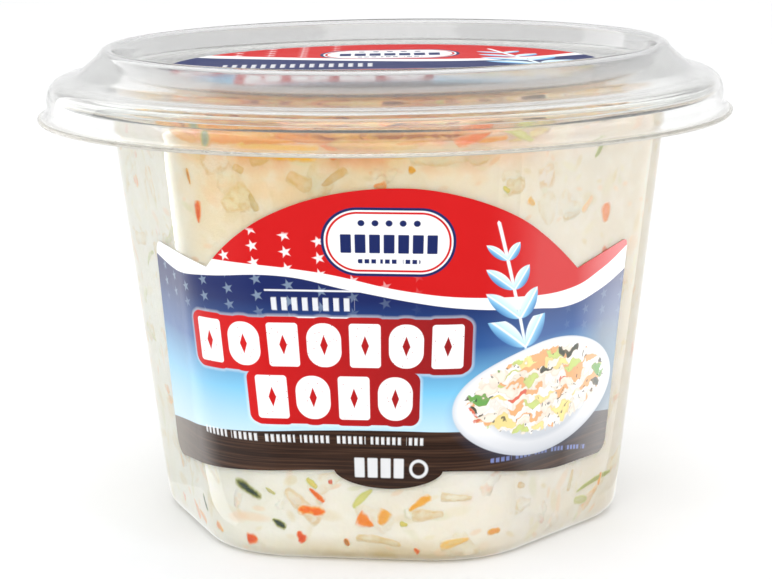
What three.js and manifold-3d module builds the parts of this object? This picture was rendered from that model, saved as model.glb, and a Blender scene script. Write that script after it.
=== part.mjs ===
// Coleslaw in a clear six-sided tub with a round press-on lid and two printed labels.
// Millimetres, +Z up. The origin is the middle of the underside, and the front face looks along -Y.

import * as THREE from 'three';
import { mergeVertices } from 'three/addons/utils/BufferGeometryUtils.js';
import Module from 'manifold-3d';

const wasm = await Module();
wasm.setup();

// ---- Driving dimensions ------------------------------------------------------------------

const TAU = 2 * Math.PI;
const GAP = 0.3;                 // clearance between pieces that touch

const tub = {
  sides: 6,
  baseApothem: 36.3,             // flat-to-centre distance of the outer wall at the base
  rimApothem: 43.7,              // the same, where the straight wall ends
  baseCorner: 18.4,              // radius of the upright corners at the base
  rimCorner: 19.0,
  wallTop: 69.6,                 // height where the six-sided wall starts to turn into the round rim
  wall: 0.8,
  edge: 2.6,                     // radius round the bottom edge
  footWidth: 4.2,
  pushUp: 1.1,                   // the bottom panel stands this far off the table
  rimRadius: 55.8,
  ledge: 72.2,                   // underside of the rim
  rimTop: 74.2,
};

const lid = {
  wall: 0.6,
  flangeRadius: 58.75,
  flangeLow: 68.9,
  skirtRadius: 57.15,
  shoulder: 75.6,                // height of the rounded step between skirt and stacking ring
  ringFoot: 52.0,                // radius where the stacking ring stands on the shoulder
  ringRadius: 46.6,              // radius of its crest
  ringTop: 80.8,
  panelRadius: 45.0,
  panelTop: 76.6,                // the sunken middle panel that carries the label
};

const salad = {
  level: 70.6,                   // height of the dressing at the wall
  crown: 1.0,                    // rise of the top towards the middle
  reach: 1.3,                    // how far the shreds stand out of the dressing
};

const frontLabel = {
  middle: 6.6,                   // the label's centre line, measured round the wall from the front face
  leftEnd: -48.45,               // where the side edges start below the side points
  rightEnd: 48.65,
  leftLean: 0.0745,              // the share by which each half widens down to the lower edge
  rightLean: 0.0145,
  crown: 1.9,                    // place of the dome's crown
  top: 62.15,
  leftFall: [0.0104, 0, 4.3e-6], // the dome falls by these times distance squared, cubed and to the fourth
  rightFall: [0.0172, -0.000095, 0],
  leftNotch: -28.65,             // where the dome ends against the low side wings
  rightNotch: 35.45,
  leftWing: 50.25,
  leftDip: 1.55,
  rightWing: 46.3,
  rightRise: 0.24,
  bottom: 16.0,
  leftSag: 0.0015,               // the lower edge falls to the left with the distance squared
  rightSag: 3.2,                 // and steps down softly to the right
  corners: { topLeft: 2.5, topRight: 1.2, lowLeft: 3.2, lowRight: 2.2 },
  lobeHalf: 9.0,
  lobeDrop: 3.1,
  thickness: 0.15,
};

const lidLabel = {
  radius: 37.2,
  thickness: 0.15,
  segments: 60,
};

// ---- Plain helpers -----------------------------------------------------------------------

const lerp = THREE.MathUtils.lerp;

function seeded(seed) {
  let state = seed >>> 0;
  return () => {
    state = (state + 0x6d2b79f5) >>> 0;
    let t = Math.imul(state ^ (state >>> 15), 1 | state);
    t = (t + Math.imul(t ^ (t >>> 7), 61 | t)) ^ t;
    return ((t ^ (t >>> 14)) >>> 0) / 4294967296;
  };
}

function meshOf(points, triangles) {
  const geometry = new THREE.BufferGeometry();
  const flat = points.flatMap((p) => [p.x, p.y, p.z]);
  geometry.setAttribute('position', new THREE.Float32BufferAttribute(flat, 3));
  geometry.setIndex(triangles);
  return geometry;
}

// A closed skin over rings of equal count, the first and last closed by a centre point.
// Seen from outside, each ring runs anticlockwise and the rings run from bottom to top.
function loft(rings, startPoint, endPoint) {
  const count = rings[0].length;
  const points = [startPoint, ...rings.flat(), endPoint];
  const triangles = [];
  const at = (ring, i) => 1 + ring * count + (i % count);
  for (let i = 0; i < count; i++) {
    triangles.push(0, at(0, i + 1), at(0, i));
    triangles.push(points.length - 1, at(rings.length - 1, i), at(rings.length - 1, i + 1));
  }
  for (let ring = 0; ring + 1 < rings.length; ring++) {
    for (let i = 0; i < count; i++) {
      triangles.push(at(ring, i), at(ring, i + 1), at(ring + 1, i + 1));
      triangles.push(at(ring, i), at(ring + 1, i + 1), at(ring + 1, i));
    }
  }
  return meshOf(points, triangles);
}

// A thin closed sheet: place(column, row, face) gives its points, face 0 underneath and 1 on top.
function sheet(columns, rows, place) {
  const points = [];
  const triangles = [];
  const at = (c, r, face) => (face * (columns + 1) + c) * (rows + 1) + r;
  const quad = (a, b, c, d) => triangles.push(a, b, c, a, c, d);
  for (let face = 0; face < 2; face++) {
    for (let c = 0; c <= columns; c++) {
      for (let r = 0; r <= rows; r++) points.push(place(c, r, face));
    }
  }
  for (let c = 0; c < columns; c++) {
    for (let r = 0; r < rows; r++) {
      quad(at(c, r, 1), at(c + 1, r, 1), at(c + 1, r + 1, 1), at(c, r + 1, 1));
      quad(at(c, r, 0), at(c, r + 1, 0), at(c + 1, r + 1, 0), at(c + 1, r, 0));
    }
    quad(at(c, 0, 0), at(c + 1, 0, 0), at(c + 1, 0, 1), at(c, 0, 1));
    quad(at(c, rows, 1), at(c + 1, rows, 1), at(c + 1, rows, 0), at(c, rows, 0));
  }
  for (let r = 0; r < rows; r++) {
    quad(at(0, r, 0), at(0, r, 1), at(0, r + 1, 1), at(0, r + 1, 0));
    quad(at(columns, r, 1), at(columns, r, 0), at(columns, r + 1, 0), at(columns, r + 1, 1));
  }
  return meshOf(points, triangles);
}

function toManifold(geometry) {
  const bare = geometry.clone();
  bare.deleteAttribute('normal');
  bare.deleteAttribute('uv');
  const merged = mergeVertices(bare, 1e-4);
  return new wasm.Manifold(new wasm.Mesh({
    numProp: 3,
    vertProperties: new Float32Array(merged.attributes.position.array),
    triVerts: new Uint32Array(merged.index.array),
  }));
}

function fromManifold(solid) {
  const mesh = solid.getMesh();
  const geometry = new THREE.BufferGeometry();
  geometry.setAttribute('position', new THREE.BufferAttribute(mesh.vertProperties, 3));
  geometry.setIndex(new THREE.BufferAttribute(mesh.triVerts, 1));
  return geometry;
}

// ---- The six-sided wall ------------------------------------------------------------------

function wallSection(z) {
  const t = z / tub.wallTop;
  const apothem = lerp(tub.baseApothem, tub.rimApothem, t);
  const corner = lerp(tub.baseCorner, tub.rimCorner, t);
  return { apothem, corner };
}

const midSection = wallSection(tub.wallTop / 2);
const midFlat = 2 * (midSection.apothem - midSection.corner) * Math.tan(Math.PI / tub.sides);
const midArc = midSection.corner * TAU / tub.sides;
const sidePitch = midFlat + midArc;
const girth = tub.sides * sidePitch;

// A point of the wall: along is the distance round it from the middle of the front face,
// measured at half height, and out moves the point square off the wall.
function wallPoint(along, z, out = 0) {
  const { apothem, corner } = wallSection(z);
  const side = Math.round(along / sidePitch);
  const rest = along - side * sidePitch;
  const core = apothem - corner;
  const halfFlat = core * Math.tan(Math.PI / tub.sides);
  const past = Math.abs(rest) - midFlat / 2;
  let x = rest / (midFlat / 2) * halfFlat;
  let y = apothem + out;
  if (past > 0) {
    const turn = past / midSection.corner;
    x = Math.sign(rest) * (halfFlat + (corner + out) * Math.sin(turn));
    y = core + (corner + out) * Math.cos(turn);
  }
  return new THREE.Vector3(x, -y, z).applyAxisAngle(new THREE.Vector3(0, 0, 1), side * TAU / tub.sides);
}

// Places round the wall, with this many steps on each flat side and each corner.
function ringStops(flatSteps, arcSteps) {
  const stops = [];
  for (let side = 0; side < tub.sides; side++) {
    const start = side * sidePitch - midFlat / 2;
    for (let i = 0; i < flatSteps; i++) stops.push(start + midFlat * i / flatSteps);
    for (let i = 0; i < arcSteps; i++) stops.push(start + midFlat + midArc * i / arcSteps);
  }
  return stops;
}

// One ring: round 0 is the six-sided wall, round 1 a circle, and between them a blend.
function wallRing(stops, { z, out = 0, round = 0, radius = 1, shrink = 1, lift = null }) {
  return stops.map((along) => {
    const point = wallPoint(along, z, out);
    const circle = new THREE.Vector3(point.x, point.y, 0).setLength(radius).setZ(z);
    point.lerp(circle, round);
    point.x *= shrink;
    point.y *= shrink;
    if (lift) point.z += lift(point);
    return point;
  });
}

// ---- Tub ---------------------------------------------------------------------------------

function buildTub() {
  const { edge, wall, footWidth, pushUp, ledge, rimTop, rimRadius, wallTop } = tub;
  const footIn = -edge - footWidth;
  const arc = [30, 60, 90].map((degrees) => {
    const angle = degrees * Math.PI / 180;
    return { z: edge * (1 - Math.cos(angle)), out: edge * (Math.sin(angle) - 1) };
  });
  const outside = [
    { z: pushUp, out: footIn - 1.2 },
    { z: 0, out: footIn },
    { z: 0, out: -edge },
    ...arc,
    { z: wallTop * 0.5 },
    { z: wallTop },
    { z: wallTop + 1.1, round: 0.3, radius: 49.4 },
    { z: wallTop + 2.0, round: 0.75, radius: 51.2 },
    { z: ledge, round: 1, radius: 53.2 },
    { z: ledge, round: 1, radius: rimRadius - 0.4 },
    { z: ledge + 0.4, round: 1, radius: rimRadius },
    { z: rimTop - 0.6, round: 1, radius: rimRadius },
    { z: rimTop, round: 1, radius: rimRadius - 0.6 },
  ];
  const floorIn = edge - wall;
  const inside = [
    { z: rimTop, round: 1, radius: rimRadius - wall - 0.3 },
    { z: ledge + wall, round: 1, radius: rimRadius - wall },
    { z: ledge + wall, round: 1, radius: 52.9 },
    { z: wallTop + 2.5, round: 0.75, radius: 50.4 },
    { z: wallTop + 1.4, out: -wall, round: 0.3, radius: 48.6 },
    { z: wallTop, out: -wall },
    { z: wallTop * 0.5, out: -wall },
    { z: pushUp + wall + floorIn, out: -wall },
    { z: pushUp + wall + floorIn * 0.3, out: -wall - floorIn * 0.35 },
    { z: pushUp + wall, out: -wall - floorIn },
  ];
  const stops = ringStops(4, 6);
  const rings = [...outside, ...inside].map((station) => wallRing(stops, station));
  const start = new THREE.Vector3(0, 0, pushUp);
  const end = new THREE.Vector3(0, 0, pushUp + wall);
  return loft(rings, start, end);
}

// ---- Lid ---------------------------------------------------------------------------------

// The outer skin's profile, as radius and height, from the middle of the panel to the lip.
function lidProfile() {
  const { panelTop, panelRadius, ringRadius, ringTop, ringFoot, shoulder } = lid;
  const { skirtRadius, flangeRadius, flangeLow } = lid;
  return [
    [panelRadius - 0.9, panelTop],
    [panelRadius, panelTop + 0.6],
    [panelRadius + 0.5, ringTop - 1.4],
    [ringRadius - 0.5, ringTop - 0.35],
    [ringRadius + 0.3, ringTop],
    [ringRadius + 1.1, ringTop - 0.35],
    [ringRadius + 1.8, ringTop - 1.3],
    [ringFoot - 1.0, shoulder + 1.6],
    [ringFoot + 0.3, shoulder + 0.7],
    [skirtRadius - 2.0, shoulder],
    [skirtRadius - 0.6, shoulder - 1.1],
    [skirtRadius, shoulder - 2.8],
    [skirtRadius, flangeLow + 2.0],
    [skirtRadius + 0.6, flangeLow + 1.1],
    [flangeRadius - 0.1, flangeLow + 0.6],
    [flangeRadius, flangeLow + 0.3],
    [flangeRadius - 0.2, flangeLow],
  ];
}

// Moves each point of an open profile square to it by the wall's thickness, to the inner side.
function innerProfile(profile, thickness) {
  return profile.map(([radius, height], i) => {
    const [r0, z0] = profile[Math.max(i - 1, 0)];
    const [r1, z1] = profile[Math.min(i + 1, profile.length - 1)];
    const length = Math.hypot(r1 - r0, z1 - z0);
    return [radius + (z1 - z0) / length * thickness, height - (r1 - r0) / length * thickness];
  });
}

function buildLid() {
  const outer = lidProfile();
  const inner = innerProfile(outer.slice(0, -2), lid.wall);
  const lip = [[lid.flangeRadius - 0.8, lid.flangeLow]];
  const axisTop = [0, lid.panelTop];
  const axisLow = [0, lid.panelTop - lid.wall];
  const profile = [axisTop, ...outer, ...lip, ...inner.reverse(), axisLow];
  const points = profile.map(([radius, height]) => new THREE.Vector2(radius, height)).reverse();
  const steps = 60;
  return new THREE.LatheGeometry(points, steps).rotateX(Math.PI / 2);
}

// ---- Labels ------------------------------------------------------------------------------

// How far a rounded corner of the given radius pulls an edge in, at this distance from the end.
function cornerPull(fromEnd, radius) {
  if (fromEnd >= radius) return 0;
  return radius - Math.sqrt(radius ** 2 - (radius - fromEnd) ** 2);
}

// Upper edge of the front label at x from its centre line: a dome between two low side wings.
function frontLabelTop(x) {
  const f = frontLabel;
  if (x < f.leftNotch) {
    const inward = Math.max(x + 40, 0) / (f.leftNotch + 40);
    return f.leftWing - f.leftDip * inward ** 2 - cornerPull(x - f.leftEnd, f.corners.topLeft);
  }
  if (x > f.rightNotch) {
    const rise = f.rightRise * (x - f.rightNotch);
    return f.rightWing + rise - cornerPull(f.rightEnd - x, f.corners.topRight);
  }
  const d = Math.abs(x - f.crown);
  const fall = x < f.crown ? f.leftFall : f.rightFall;
  return f.top - fall[0] * d ** 2 - fall[1] * d ** 3 - fall[2] * d ** 4;
}

// Lower edge: falls to both sides, with rounded corners and a lobe hanging in the middle.
function frontLabelBottom(x) {
  const f = frontLabel;
  const step = THREE.MathUtils.smoothstep(x, 10, 36);
  let z = f.bottom - f.leftSag * Math.min(x, 0) ** 2 - f.rightSag * step;
  z += cornerPull(x - f.leftEnd, f.corners.lowLeft) + cornerPull(f.rightEnd - x, f.corners.lowRight);
  if (Math.abs(x) < f.lobeHalf) z -= f.lobeDrop * (1 - (x / f.lobeHalf) ** 2) ** 0.6;
  return z;
}

function evenStops(from, to, count) {
  return Array.from({ length: count + 1 }, (_, i) => lerp(from, to, i / count));
}

function buildFrontLabel() {
  const f = frontLabel;
  const step = 0.5;
  const leftCorner = f.corners.lowLeft;
  const rightCorner = f.corners.lowRight;
  const stops = [
    ...[0, 0.12, 0.45].map((t) => f.leftEnd + t * leftCorner),
    ...evenStops(f.leftEnd + leftCorner, f.leftNotch - step, 5),
    ...evenStops(f.leftNotch, -f.lobeHalf, 6),
    ...evenStops(-f.lobeHalf + step, f.lobeHalf - step, 10),
    ...evenStops(f.lobeHalf, f.rightNotch, 8),
    ...evenStops(f.rightNotch + step, f.rightEnd - rightCorner, 3),
    ...[0.45, 0.12, 0].map((t) => f.rightEnd - t * rightCorner),
  ];
  const rows = 2;
  return sheet(stops.length - 1, rows, (column, row, face) => {
    const x = stops[column];
    const z = lerp(frontLabelBottom(x), frontLabelTop(x), row / rows);
    const down = (50 - z) / 36;
    const lean = 1 + down * (x < 0 ? f.leftLean : f.rightLean);
    return wallPoint(f.middle + x * lean, z, GAP + face * f.thickness);
  });
}

function buildLidLabel() {
  const { radius, thickness, segments } = lidLabel;
  const disc = new THREE.CylinderGeometry(radius, radius, thickness, segments);
  return disc.rotateX(Math.PI / 2).translate(0, 0, lid.panelTop + GAP + thickness / 2);
}

// ---- Coleslaw ----------------------------------------------------------------------------

const saladSkin = -tub.wall - GAP;       // as far out as the salad may come
const saladFloor = tub.pushUp + tub.wall + GAP;

// Uneven height of the dressing's top: three crossing waves over a low crown.
function topRelief(point) {
  const crown = salad.crown * (1 - (Math.hypot(point.x, point.y) / 44) ** 2);
  const waves = Math.sin(point.x * 0.21 + 1) + Math.sin(point.y * 0.26 - point.x * 0.08) +
    Math.sin((point.x + point.y) * 0.37);
  return crown + 0.28 * waves;
}

function buildDressing() {
  const inset = saladSkin - salad.reach * 0.6;
  const heights = [6, 28, 50, salad.level - 0.8];
  const stations = [
    { z: saladFloor, out: inset - 3 },
    ...heights.map((z) => ({ z, out: inset })),
    ...[0.97, 0.8, 0.56, 0.28].map((shrink) => ({ z: salad.level, out: inset, shrink, lift: topRelief })),
  ];
  const crownPoint = new THREE.Vector3(0, 0, salad.level);
  crownPoint.z += topRelief(crownPoint);
  const stops = ringStops(1, 3);
  const rings = stations.map((station) => wallRing(stops, station));
  return loft(rings, new THREE.Vector3(0, 0, saladFloor), crownPoint);
}

// A flat strip bent along a path: place(t, across, depth) gives its points,
// t from 0 to 1 along it, across -1 or 1, and depth 0 at its outer face and 1 at its inner.
function strip(segments, place) {
  const points = [];
  const triangles = [];
  const section = [[-1, 0], [1, 0], [1, 1], [-1, 1]];
  const quad = (a, b, c, d) => triangles.push(a, b, c, a, c, d);
  for (let i = 0; i <= segments; i++) {
    for (const [across, depth] of section) points.push(place(i / segments, across, depth));
  }
  for (let i = 0; i < segments; i++) {
    for (let k = 0; k < 4; k++) {
      const next = (k + 1) % 4;
      quad(4 * i + k, 4 * i + next, 4 * i + 4 + next, 4 * i + 4 + k);
    }
  }
  const last = 4 * segments;
  quad(3, 2, 1, 0);
  quad(last, last + 1, last + 2, last + 3);
  const solid = toManifold(meshOf(points, triangles));
  if (solid.volume() > 0) return solid;
  return toManifold(meshOf(points, triangles.reverse()));
}

function underFrontLabel(along, z) {
  const x = along - frontLabel.middle;
  const inside = x > frontLabel.leftEnd + 3 && x < frontLabel.rightEnd - 3;
  return inside && z > frontLabelBottom(x) + 3 && z < frontLabelTop(x) - 3;
}

// Shreds pressed against the wall, one near each point of a jittered grid.
function wallShreds(random) {
  const rows = 6;
  const columns = 20;
  const shreds = [];
  for (let row = 0; row < rows; row++) {
    for (let column = 0; column < columns; column++) {
      const along = (column + 0.5 * (row % 2) + 0.7 * random()) * girth / columns - girth / 2;
      const z = lerp(7.5, 65.5, (row + 0.2 + 0.6 * random()) / rows);
      const turn = (random() - 0.5) * Math.PI;
      const length = 6 + 11 * random() ** 1.6;
      const width = 1.1 + 1.5 * random();
      const bend = (random() - 0.5) * 3;
      const outer = saladSkin - 0.3 * random();
      if (underFrontLabel(along, z)) continue;
      const place = (t, across, depth) => {
        const run = (t - 0.5) * length;
        const side = across * width / 2 + bend * (1 - (2 * t - 1) ** 2);
        const up = THREE.MathUtils.clamp(z + run * Math.sin(turn) + side * Math.cos(turn), 5.2, 69.2);
        const round = along + run * Math.cos(turn) - side * Math.sin(turn);
        return wallPoint(round, up, outer - depth * salad.reach);
      };
      shreds.push(strip(2, place));
    }
  }
  return shreds;
}

// Shreds lying on top, placed by the golden angle so that they cover it evenly.
function topShreds(random) {
  const count = 52;
  const spreadRadius = 38;
  const goldenAngle = TAU * 0.381966;
  const shreds = [];
  for (let i = 0; i < count; i++) {
    const radius = spreadRadius * Math.sqrt((i + 0.5) / count);
    const angle = i * goldenAngle;
    const centre = new THREE.Vector3(radius * Math.cos(angle), radius * Math.sin(angle), 0);
    const spread = radius > 30 ? 0.25 : 1;      // those near the wall lie along it
    const heading = angle + Math.PI / 2 + (random() - 0.5) * Math.PI * spread;
    const length = 7 + 9 * random();
    const width = 1.6 + 1.8 * random();
    const arch = 0.5 + 1.1 * random();
    const tilt = (random() - 0.5) * 1.2;
    const rise = 0.5 + 0.7 * random();
    const place = (t, across, depth) => {
      const run = (t - 0.5) * length;
      const side = across * width / 2;
      const x = centre.x + run * Math.cos(heading) - side * Math.sin(heading);
      const y = centre.y + run * Math.sin(heading) + side * Math.cos(heading);
      const bow = arch * (1 - (2 * t - 1) ** 2);
      const ground = salad.level + topRelief(centre);
      return new THREE.Vector3(x, y, ground + rise + bow + tilt * across * 0.5 - depth * (1.6 + bow));
    };
    shreds.push(strip(2, place));
  }
  return shreds;
}

function buildColeslaw() {
  const random = seeded(41);
  const pieces = [toManifold(buildDressing()), ...wallShreds(random), ...topShreds(random)];
  const finest = 0.03;                   // slivers under this are smoothed away
  const shells = wasm.Manifold.union(pieces).simplify(finest).decompose();
  shells.sort((a, b) => b.volume() - a.volume());
  return fromManifold(shells[0]);        // the rest are hollows sealed between shreds
}

// ---- Scene graph -------------------------------------------------------------------------

function named(name, geometry, colour, roughness, opacity = 1) {
  const material = new THREE.MeshStandardMaterial({ color: colour, roughness, metalness: 0 });
  material.opacity = opacity;
  material.transparent = opacity < 1;
  const mesh = new THREE.Mesh(geometry, material);
  mesh.name = name;
  return mesh;
}

const object = new THREE.Group();
object.add(
  named('tub', buildTub(), '#e9ece6', 0.12, 0.3),
  named('coleslaw', buildColeslaw(), '#e9e2cc', 0.45),
  named('lid', buildLid(), '#eef1f0', 0.1, 0.25),
  named('front_label', buildFrontLabel(), '#1b2a63', 0.35),
  named('lid_label', buildLidLabel(), '#e11e20', 0.35),
);

export default object;
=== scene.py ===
import math

import bpy
import numpy as np
from mathutils import Matrix, Vector


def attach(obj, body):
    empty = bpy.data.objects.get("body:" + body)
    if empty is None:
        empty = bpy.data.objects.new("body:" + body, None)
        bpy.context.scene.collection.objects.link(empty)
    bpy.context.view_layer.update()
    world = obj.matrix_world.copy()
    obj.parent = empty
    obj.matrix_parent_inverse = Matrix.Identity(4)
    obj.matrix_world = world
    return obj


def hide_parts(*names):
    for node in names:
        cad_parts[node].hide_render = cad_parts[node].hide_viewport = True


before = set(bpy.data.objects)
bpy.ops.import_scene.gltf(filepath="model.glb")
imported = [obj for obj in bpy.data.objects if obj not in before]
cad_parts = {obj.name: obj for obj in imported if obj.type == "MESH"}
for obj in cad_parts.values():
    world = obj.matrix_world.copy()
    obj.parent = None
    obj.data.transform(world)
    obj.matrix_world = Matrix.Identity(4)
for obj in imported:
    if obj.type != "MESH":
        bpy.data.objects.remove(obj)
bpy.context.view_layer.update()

scene = bpy.context.scene
mm = 0.001
print("frame loaded:", ", ".join(sorted(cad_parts)))

# Everything below is worked out in millimetres and written to the meshes in metres.
# Directions on the table are turned from -Y, the front, towards +X.


# meshes from arrays

def smoothSteps(value, low, high):
    # 0 below low, 1 above high, and 3t^2 - 2t^3 between them
    t = np.clip((value - low) / (high - low), 0, 1)
    return t * t * (3 - 2 * t)


def makePiece(name, points, faces, material, replaced=None, sharpAngle=60):
    # points is (n, 3) in millimetres, faces a list of rings of point numbers
    mesh = bpy.data.meshes.new(name)
    mesh.from_pydata((points.reshape(-1, 3) * mm).tolist(), [], faces)
    mesh.validate()
    mesh.polygons.foreach_set("use_smooth", np.ones(len(mesh.polygons), bool))
    mesh.set_sharp_from_angle(angle=math.radians(sharpAngle))
    piece = bpy.data.objects.new(name, mesh)
    scene.collection.objects.link(piece)
    mesh.materials.append(material)
    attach(piece, "root")
    if replaced:
        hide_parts(replaced)
    return piece


def gridFaces(rows, columns, wrap=False):
    # quads between neighbouring points of a grid numbered row by row; wrap joins the last column to the first
    number = np.arange(rows * columns).reshape(rows, columns)
    if wrap:
        number = np.concatenate([number, number[:, :1]], axis=1)
    quads = np.stack([number[:-1, :-1], number[:-1, 1:], number[1:, 1:], number[1:, :-1]], -1)
    return quads.reshape(-1, 4).tolist()


def ringSkin(rings):
    # a closed skin: rings (count, around, 3) from one pole to the other, each pole the mean of its end ring
    count, around = rings.shape[:2]
    faces = gridFaces(count, around, wrap=True)
    points = np.concatenate([rings.reshape(-1, 3), rings[0].mean(0)[None], rings[-1].mean(0)[None]])
    step = np.arange(around)
    onward = (step + 1) % around
    last = (count - 1) * around
    firstPole = np.full(around, count * around)
    faces += np.stack([firstPole, onward, step], -1).tolist()
    faces += np.stack([firstPole + 1, last + step, last + onward], -1).tolist()
    return points, faces


def sheetSkin(top, under):
    # a closed sheet from two grids (rows, columns, 3) and a rim of quads round their border
    rows, columns = top.shape[:2]
    half = rows * columns
    faces = gridFaces(rows, columns)
    faces += [[half + n for n in reversed(face)] for face in faces]
    number = np.arange(half).reshape(rows, columns)
    border = np.concatenate([number[0, :-1], number[:-1, -1], number[-1, :0:-1], number[:0:-1, 0]])
    onward = np.roll(border, -1)
    faces += np.stack([onward, border, border + half, onward + half], -1).tolist()
    return np.concatenate([top.reshape(-1, 3), under.reshape(-1, 3)]), faces


def setPointValues(piece, name, values):
    # one number or one colour for each point of the mesh
    kind = "FLOAT" if values.ndim == 1 else "FLOAT_COLOR"
    attribute = piece.data.attributes.new(name, kind, "POINT")
    attribute.data.foreach_set("value" if values.ndim == 1 else "color", values.astype(np.float32).ravel())


def setPrintPlace(piece, across, up):
    # the print's own coordinates, in decimetres about the middle of the UV map
    layer = piece.data.uv_layers.new(name="printPlace")
    corner = np.zeros(len(piece.data.loops), np.int32)
    piece.data.loops.foreach_get("vertex_index", corner)
    place = np.stack([across / 100 + 0.5, up / 100 + 0.5], -1)[corner]
    layer.data.foreach_set("uv", place.astype(np.float32).ravel())


# shader building: Term lets plain arithmetic place Math nodes

class Term:
    # a value that varies over the surface; each sum or call below adds one Math node
    def __init__(self, tree, socket):
        self.tree = tree
        self.socket = socket

    def math(self, operation, *others, clamp=False):
        settings = dict(operation=operation, use_clamp=clamp)
        return Term(self.tree, addNode(self.tree, "ShaderNodeMath", 0, settings, (self, *others)))

    def __rsub__(self, other):
        return self * -1 + other

    def clamped(self):
        return self.math("MULTIPLY", 1.0, clamp=True)

    def share(self, low, high):
        # 0 at low, 1 at high and even between them; low may be the greater
        return ((self - low) * (1 / (high - low))).clamped()

    def below(self, limit, soft=0.12):
        # 1 where the value is under the limit and 0 over it, with an edge this soft
        return self.share(limit + soft / 2, limit - soft / 2)

    def above(self, limit, soft=0.12):
        return self.share(limit - soft / 2, limit + soft / 2)


termCalls = dict(__add__="ADD", __sub__="SUBTRACT", __mul__="MULTIPLY", __truediv__="DIVIDE", size="ABSOLUTE",
                 root="SQRT", whole="FLOOR", wrapped="FLOORED_MODULO", least="MINIMUM", most="MAXIMUM")
for call, operation in termCalls.items():
    setattr(Term, call, lambda self, *others, operation=operation: self.math(operation, *others))


def plug(tree, value, socket):
    # links an output to the socket, or sets the socket's own value
    if isinstance(value, Term):
        value = value.socket
    if isinstance(value, bpy.types.NodeSocket):
        tree.links.new(value, socket)
    elif isinstance(value, (tuple, list)) and socket.type == "RGBA":
        socket.default_value = (*value, 1.0)[:4]
    else:
        socket.default_value = value


def fill(tree, sockets, values):
    # several sockets by name, with _ for a space
    for name, value in values.items():
        plug(tree, value, sockets[name.replace("_", " ")])


def addNode(tree, kind, output=0, settings=None, inOrder=(), **inputs):
    # a node with its settings and its inputs, in order or by name; returns the wanted output
    node = tree.nodes.new(kind)
    for name, value in (settings or {}).items():
        setattr(node, name, value)
    for place, value in enumerate(inOrder):
        plug(tree, value, node.inputs[place])
    fill(tree, node.inputs, inputs)
    return node.outputs[output]


def vectorMath(tree, operation, *values, output=0):
    return addNode(tree, "ShaderNodeVectorMath", output, dict(operation=operation), values)


def axesOf(tree, vector):
    # a vector's x, y and z
    split = addNode(tree, "ShaderNodeSeparateXYZ", Vector=vector).node
    return [Term(tree, socket) for socket in split.outputs]


def joined(tree, x, y, z=0.0):
    return addNode(tree, "ShaderNodeCombineXYZ", X=x, Y=y, Z=z)


def lengthOf(x, y):
    return (x * x + y * y).root()


def noise(tree, place, scale, detail=2.0, **more):
    return Term(tree, addNode(tree, "ShaderNodeTexNoise", "Fac", Vector=place, Scale=scale, Detail=detail,
                              **more))


def cells(tree, place, scale, output="Distance", feature="F1"):
    return addNode(tree, "ShaderNodeTexVoronoi", output, dict(feature=feature), Vector=place, Scale=scale)


def pointValue(tree, name, output="Fac"):
    return Term(tree, addNode(tree, "ShaderNodeAttribute", output, dict(attribute_name=name)))


def bump(tree, height, strength, distance):
    return addNode(tree, "ShaderNodeBump", Height=height, Strength=strength, Distance=distance)


def mixColour(tree, share, first, second, blend="MIX"):
    node = addNode(tree, "ShaderNodeMix", 0, dict(data_type="RGBA", blend_type=blend)).node
    for place, value in ((0, share), (6, first), (7, second)):
        plug(tree, value, node.inputs[place])
    return node.outputs[2]


def ramp(tree, value, stops, blend="LINEAR"):
    # a Color Ramp: stops is a list of (place, colour)
    node = addNode(tree, "ShaderNodeValToRGB", Fac=value).node
    node.color_ramp.interpolation = blend
    elements = node.color_ramp.elements
    for i, (place, colour) in enumerate(stops):
        element = elements[i] if i < 2 else elements.new(place)
        element.position = place
        element.color = (*colour, 1.0)
    return node.outputs[0]


def rgb(*screen):
    # screen values 0 to 255 turned into linear light
    return tuple(v / 3294.6 if v <= 10.31 else ((v / 255 + 0.055) / 1.055) ** 2.4 for v in screen)


def newGroup(name, inputs, **outputs):
    # a node group from {input: default} and output=kind of socket; returns it and its inputs
    tree = bpy.data.node_groups.new(name, "ShaderNodeTree")
    for label, default in inputs.items():
        kind = "NodeSocketVector" if isinstance(default, tuple) else "NodeSocketFloat"
        socket = tree.interface.new_socket(name=label.replace("_", " "), in_out="INPUT", socket_type=kind)
        socket.default_value = default
    for label, kind in outputs.items():
        tree.interface.new_socket(name=label, in_out="OUTPUT", socket_type="NodeSocket" + kind)
    tree.nodes.new("NodeGroupOutput")
    sockets = tree.nodes.new("NodeGroupInput").outputs
    return tree, *(Term(tree, socket) for socket in sockets[:len(inputs)])


def giveOut(group, **values):
    fill(group, group.nodes["Group Output"].inputs, values)
    return group


def placeGroup(tree, group, **inputs):
    node = tree.nodes.new("ShaderNodeGroup")
    node.node_tree = group
    fill(tree, node.inputs, inputs)
    return node


def newMaterial(name, **inputs):
    # a material of one Principled BSDF; returns material, tree and that node
    material = bpy.data.materials.new(name)
    material.use_nodes = True
    tree = material.node_tree
    shader = tree.nodes["Principled BSDF"]
    fill(tree, shader.inputs, inputs)
    return material, tree, shader


def showMix(tree, share, first, second):
    # the material's surface is the first shader, and the second by this share
    mixed = addNode(tree, "ShaderNodeMixShader", inOrder=(share, first, second))
    plug(tree, mixed, tree.nodes["Material Output"].inputs["Surface"])


def objectPlace(tree):
    # the point on the piece in millimetres
    place = addNode(tree, "ShaderNodeTexCoord", "Object")
    return addNode(tree, "ShaderNodeVectorMath", 0, dict(operation="SCALE"), Vector=place, Scale=1 / mm)


# the tub's wall: a rounded hexagon that widens upwards

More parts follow.
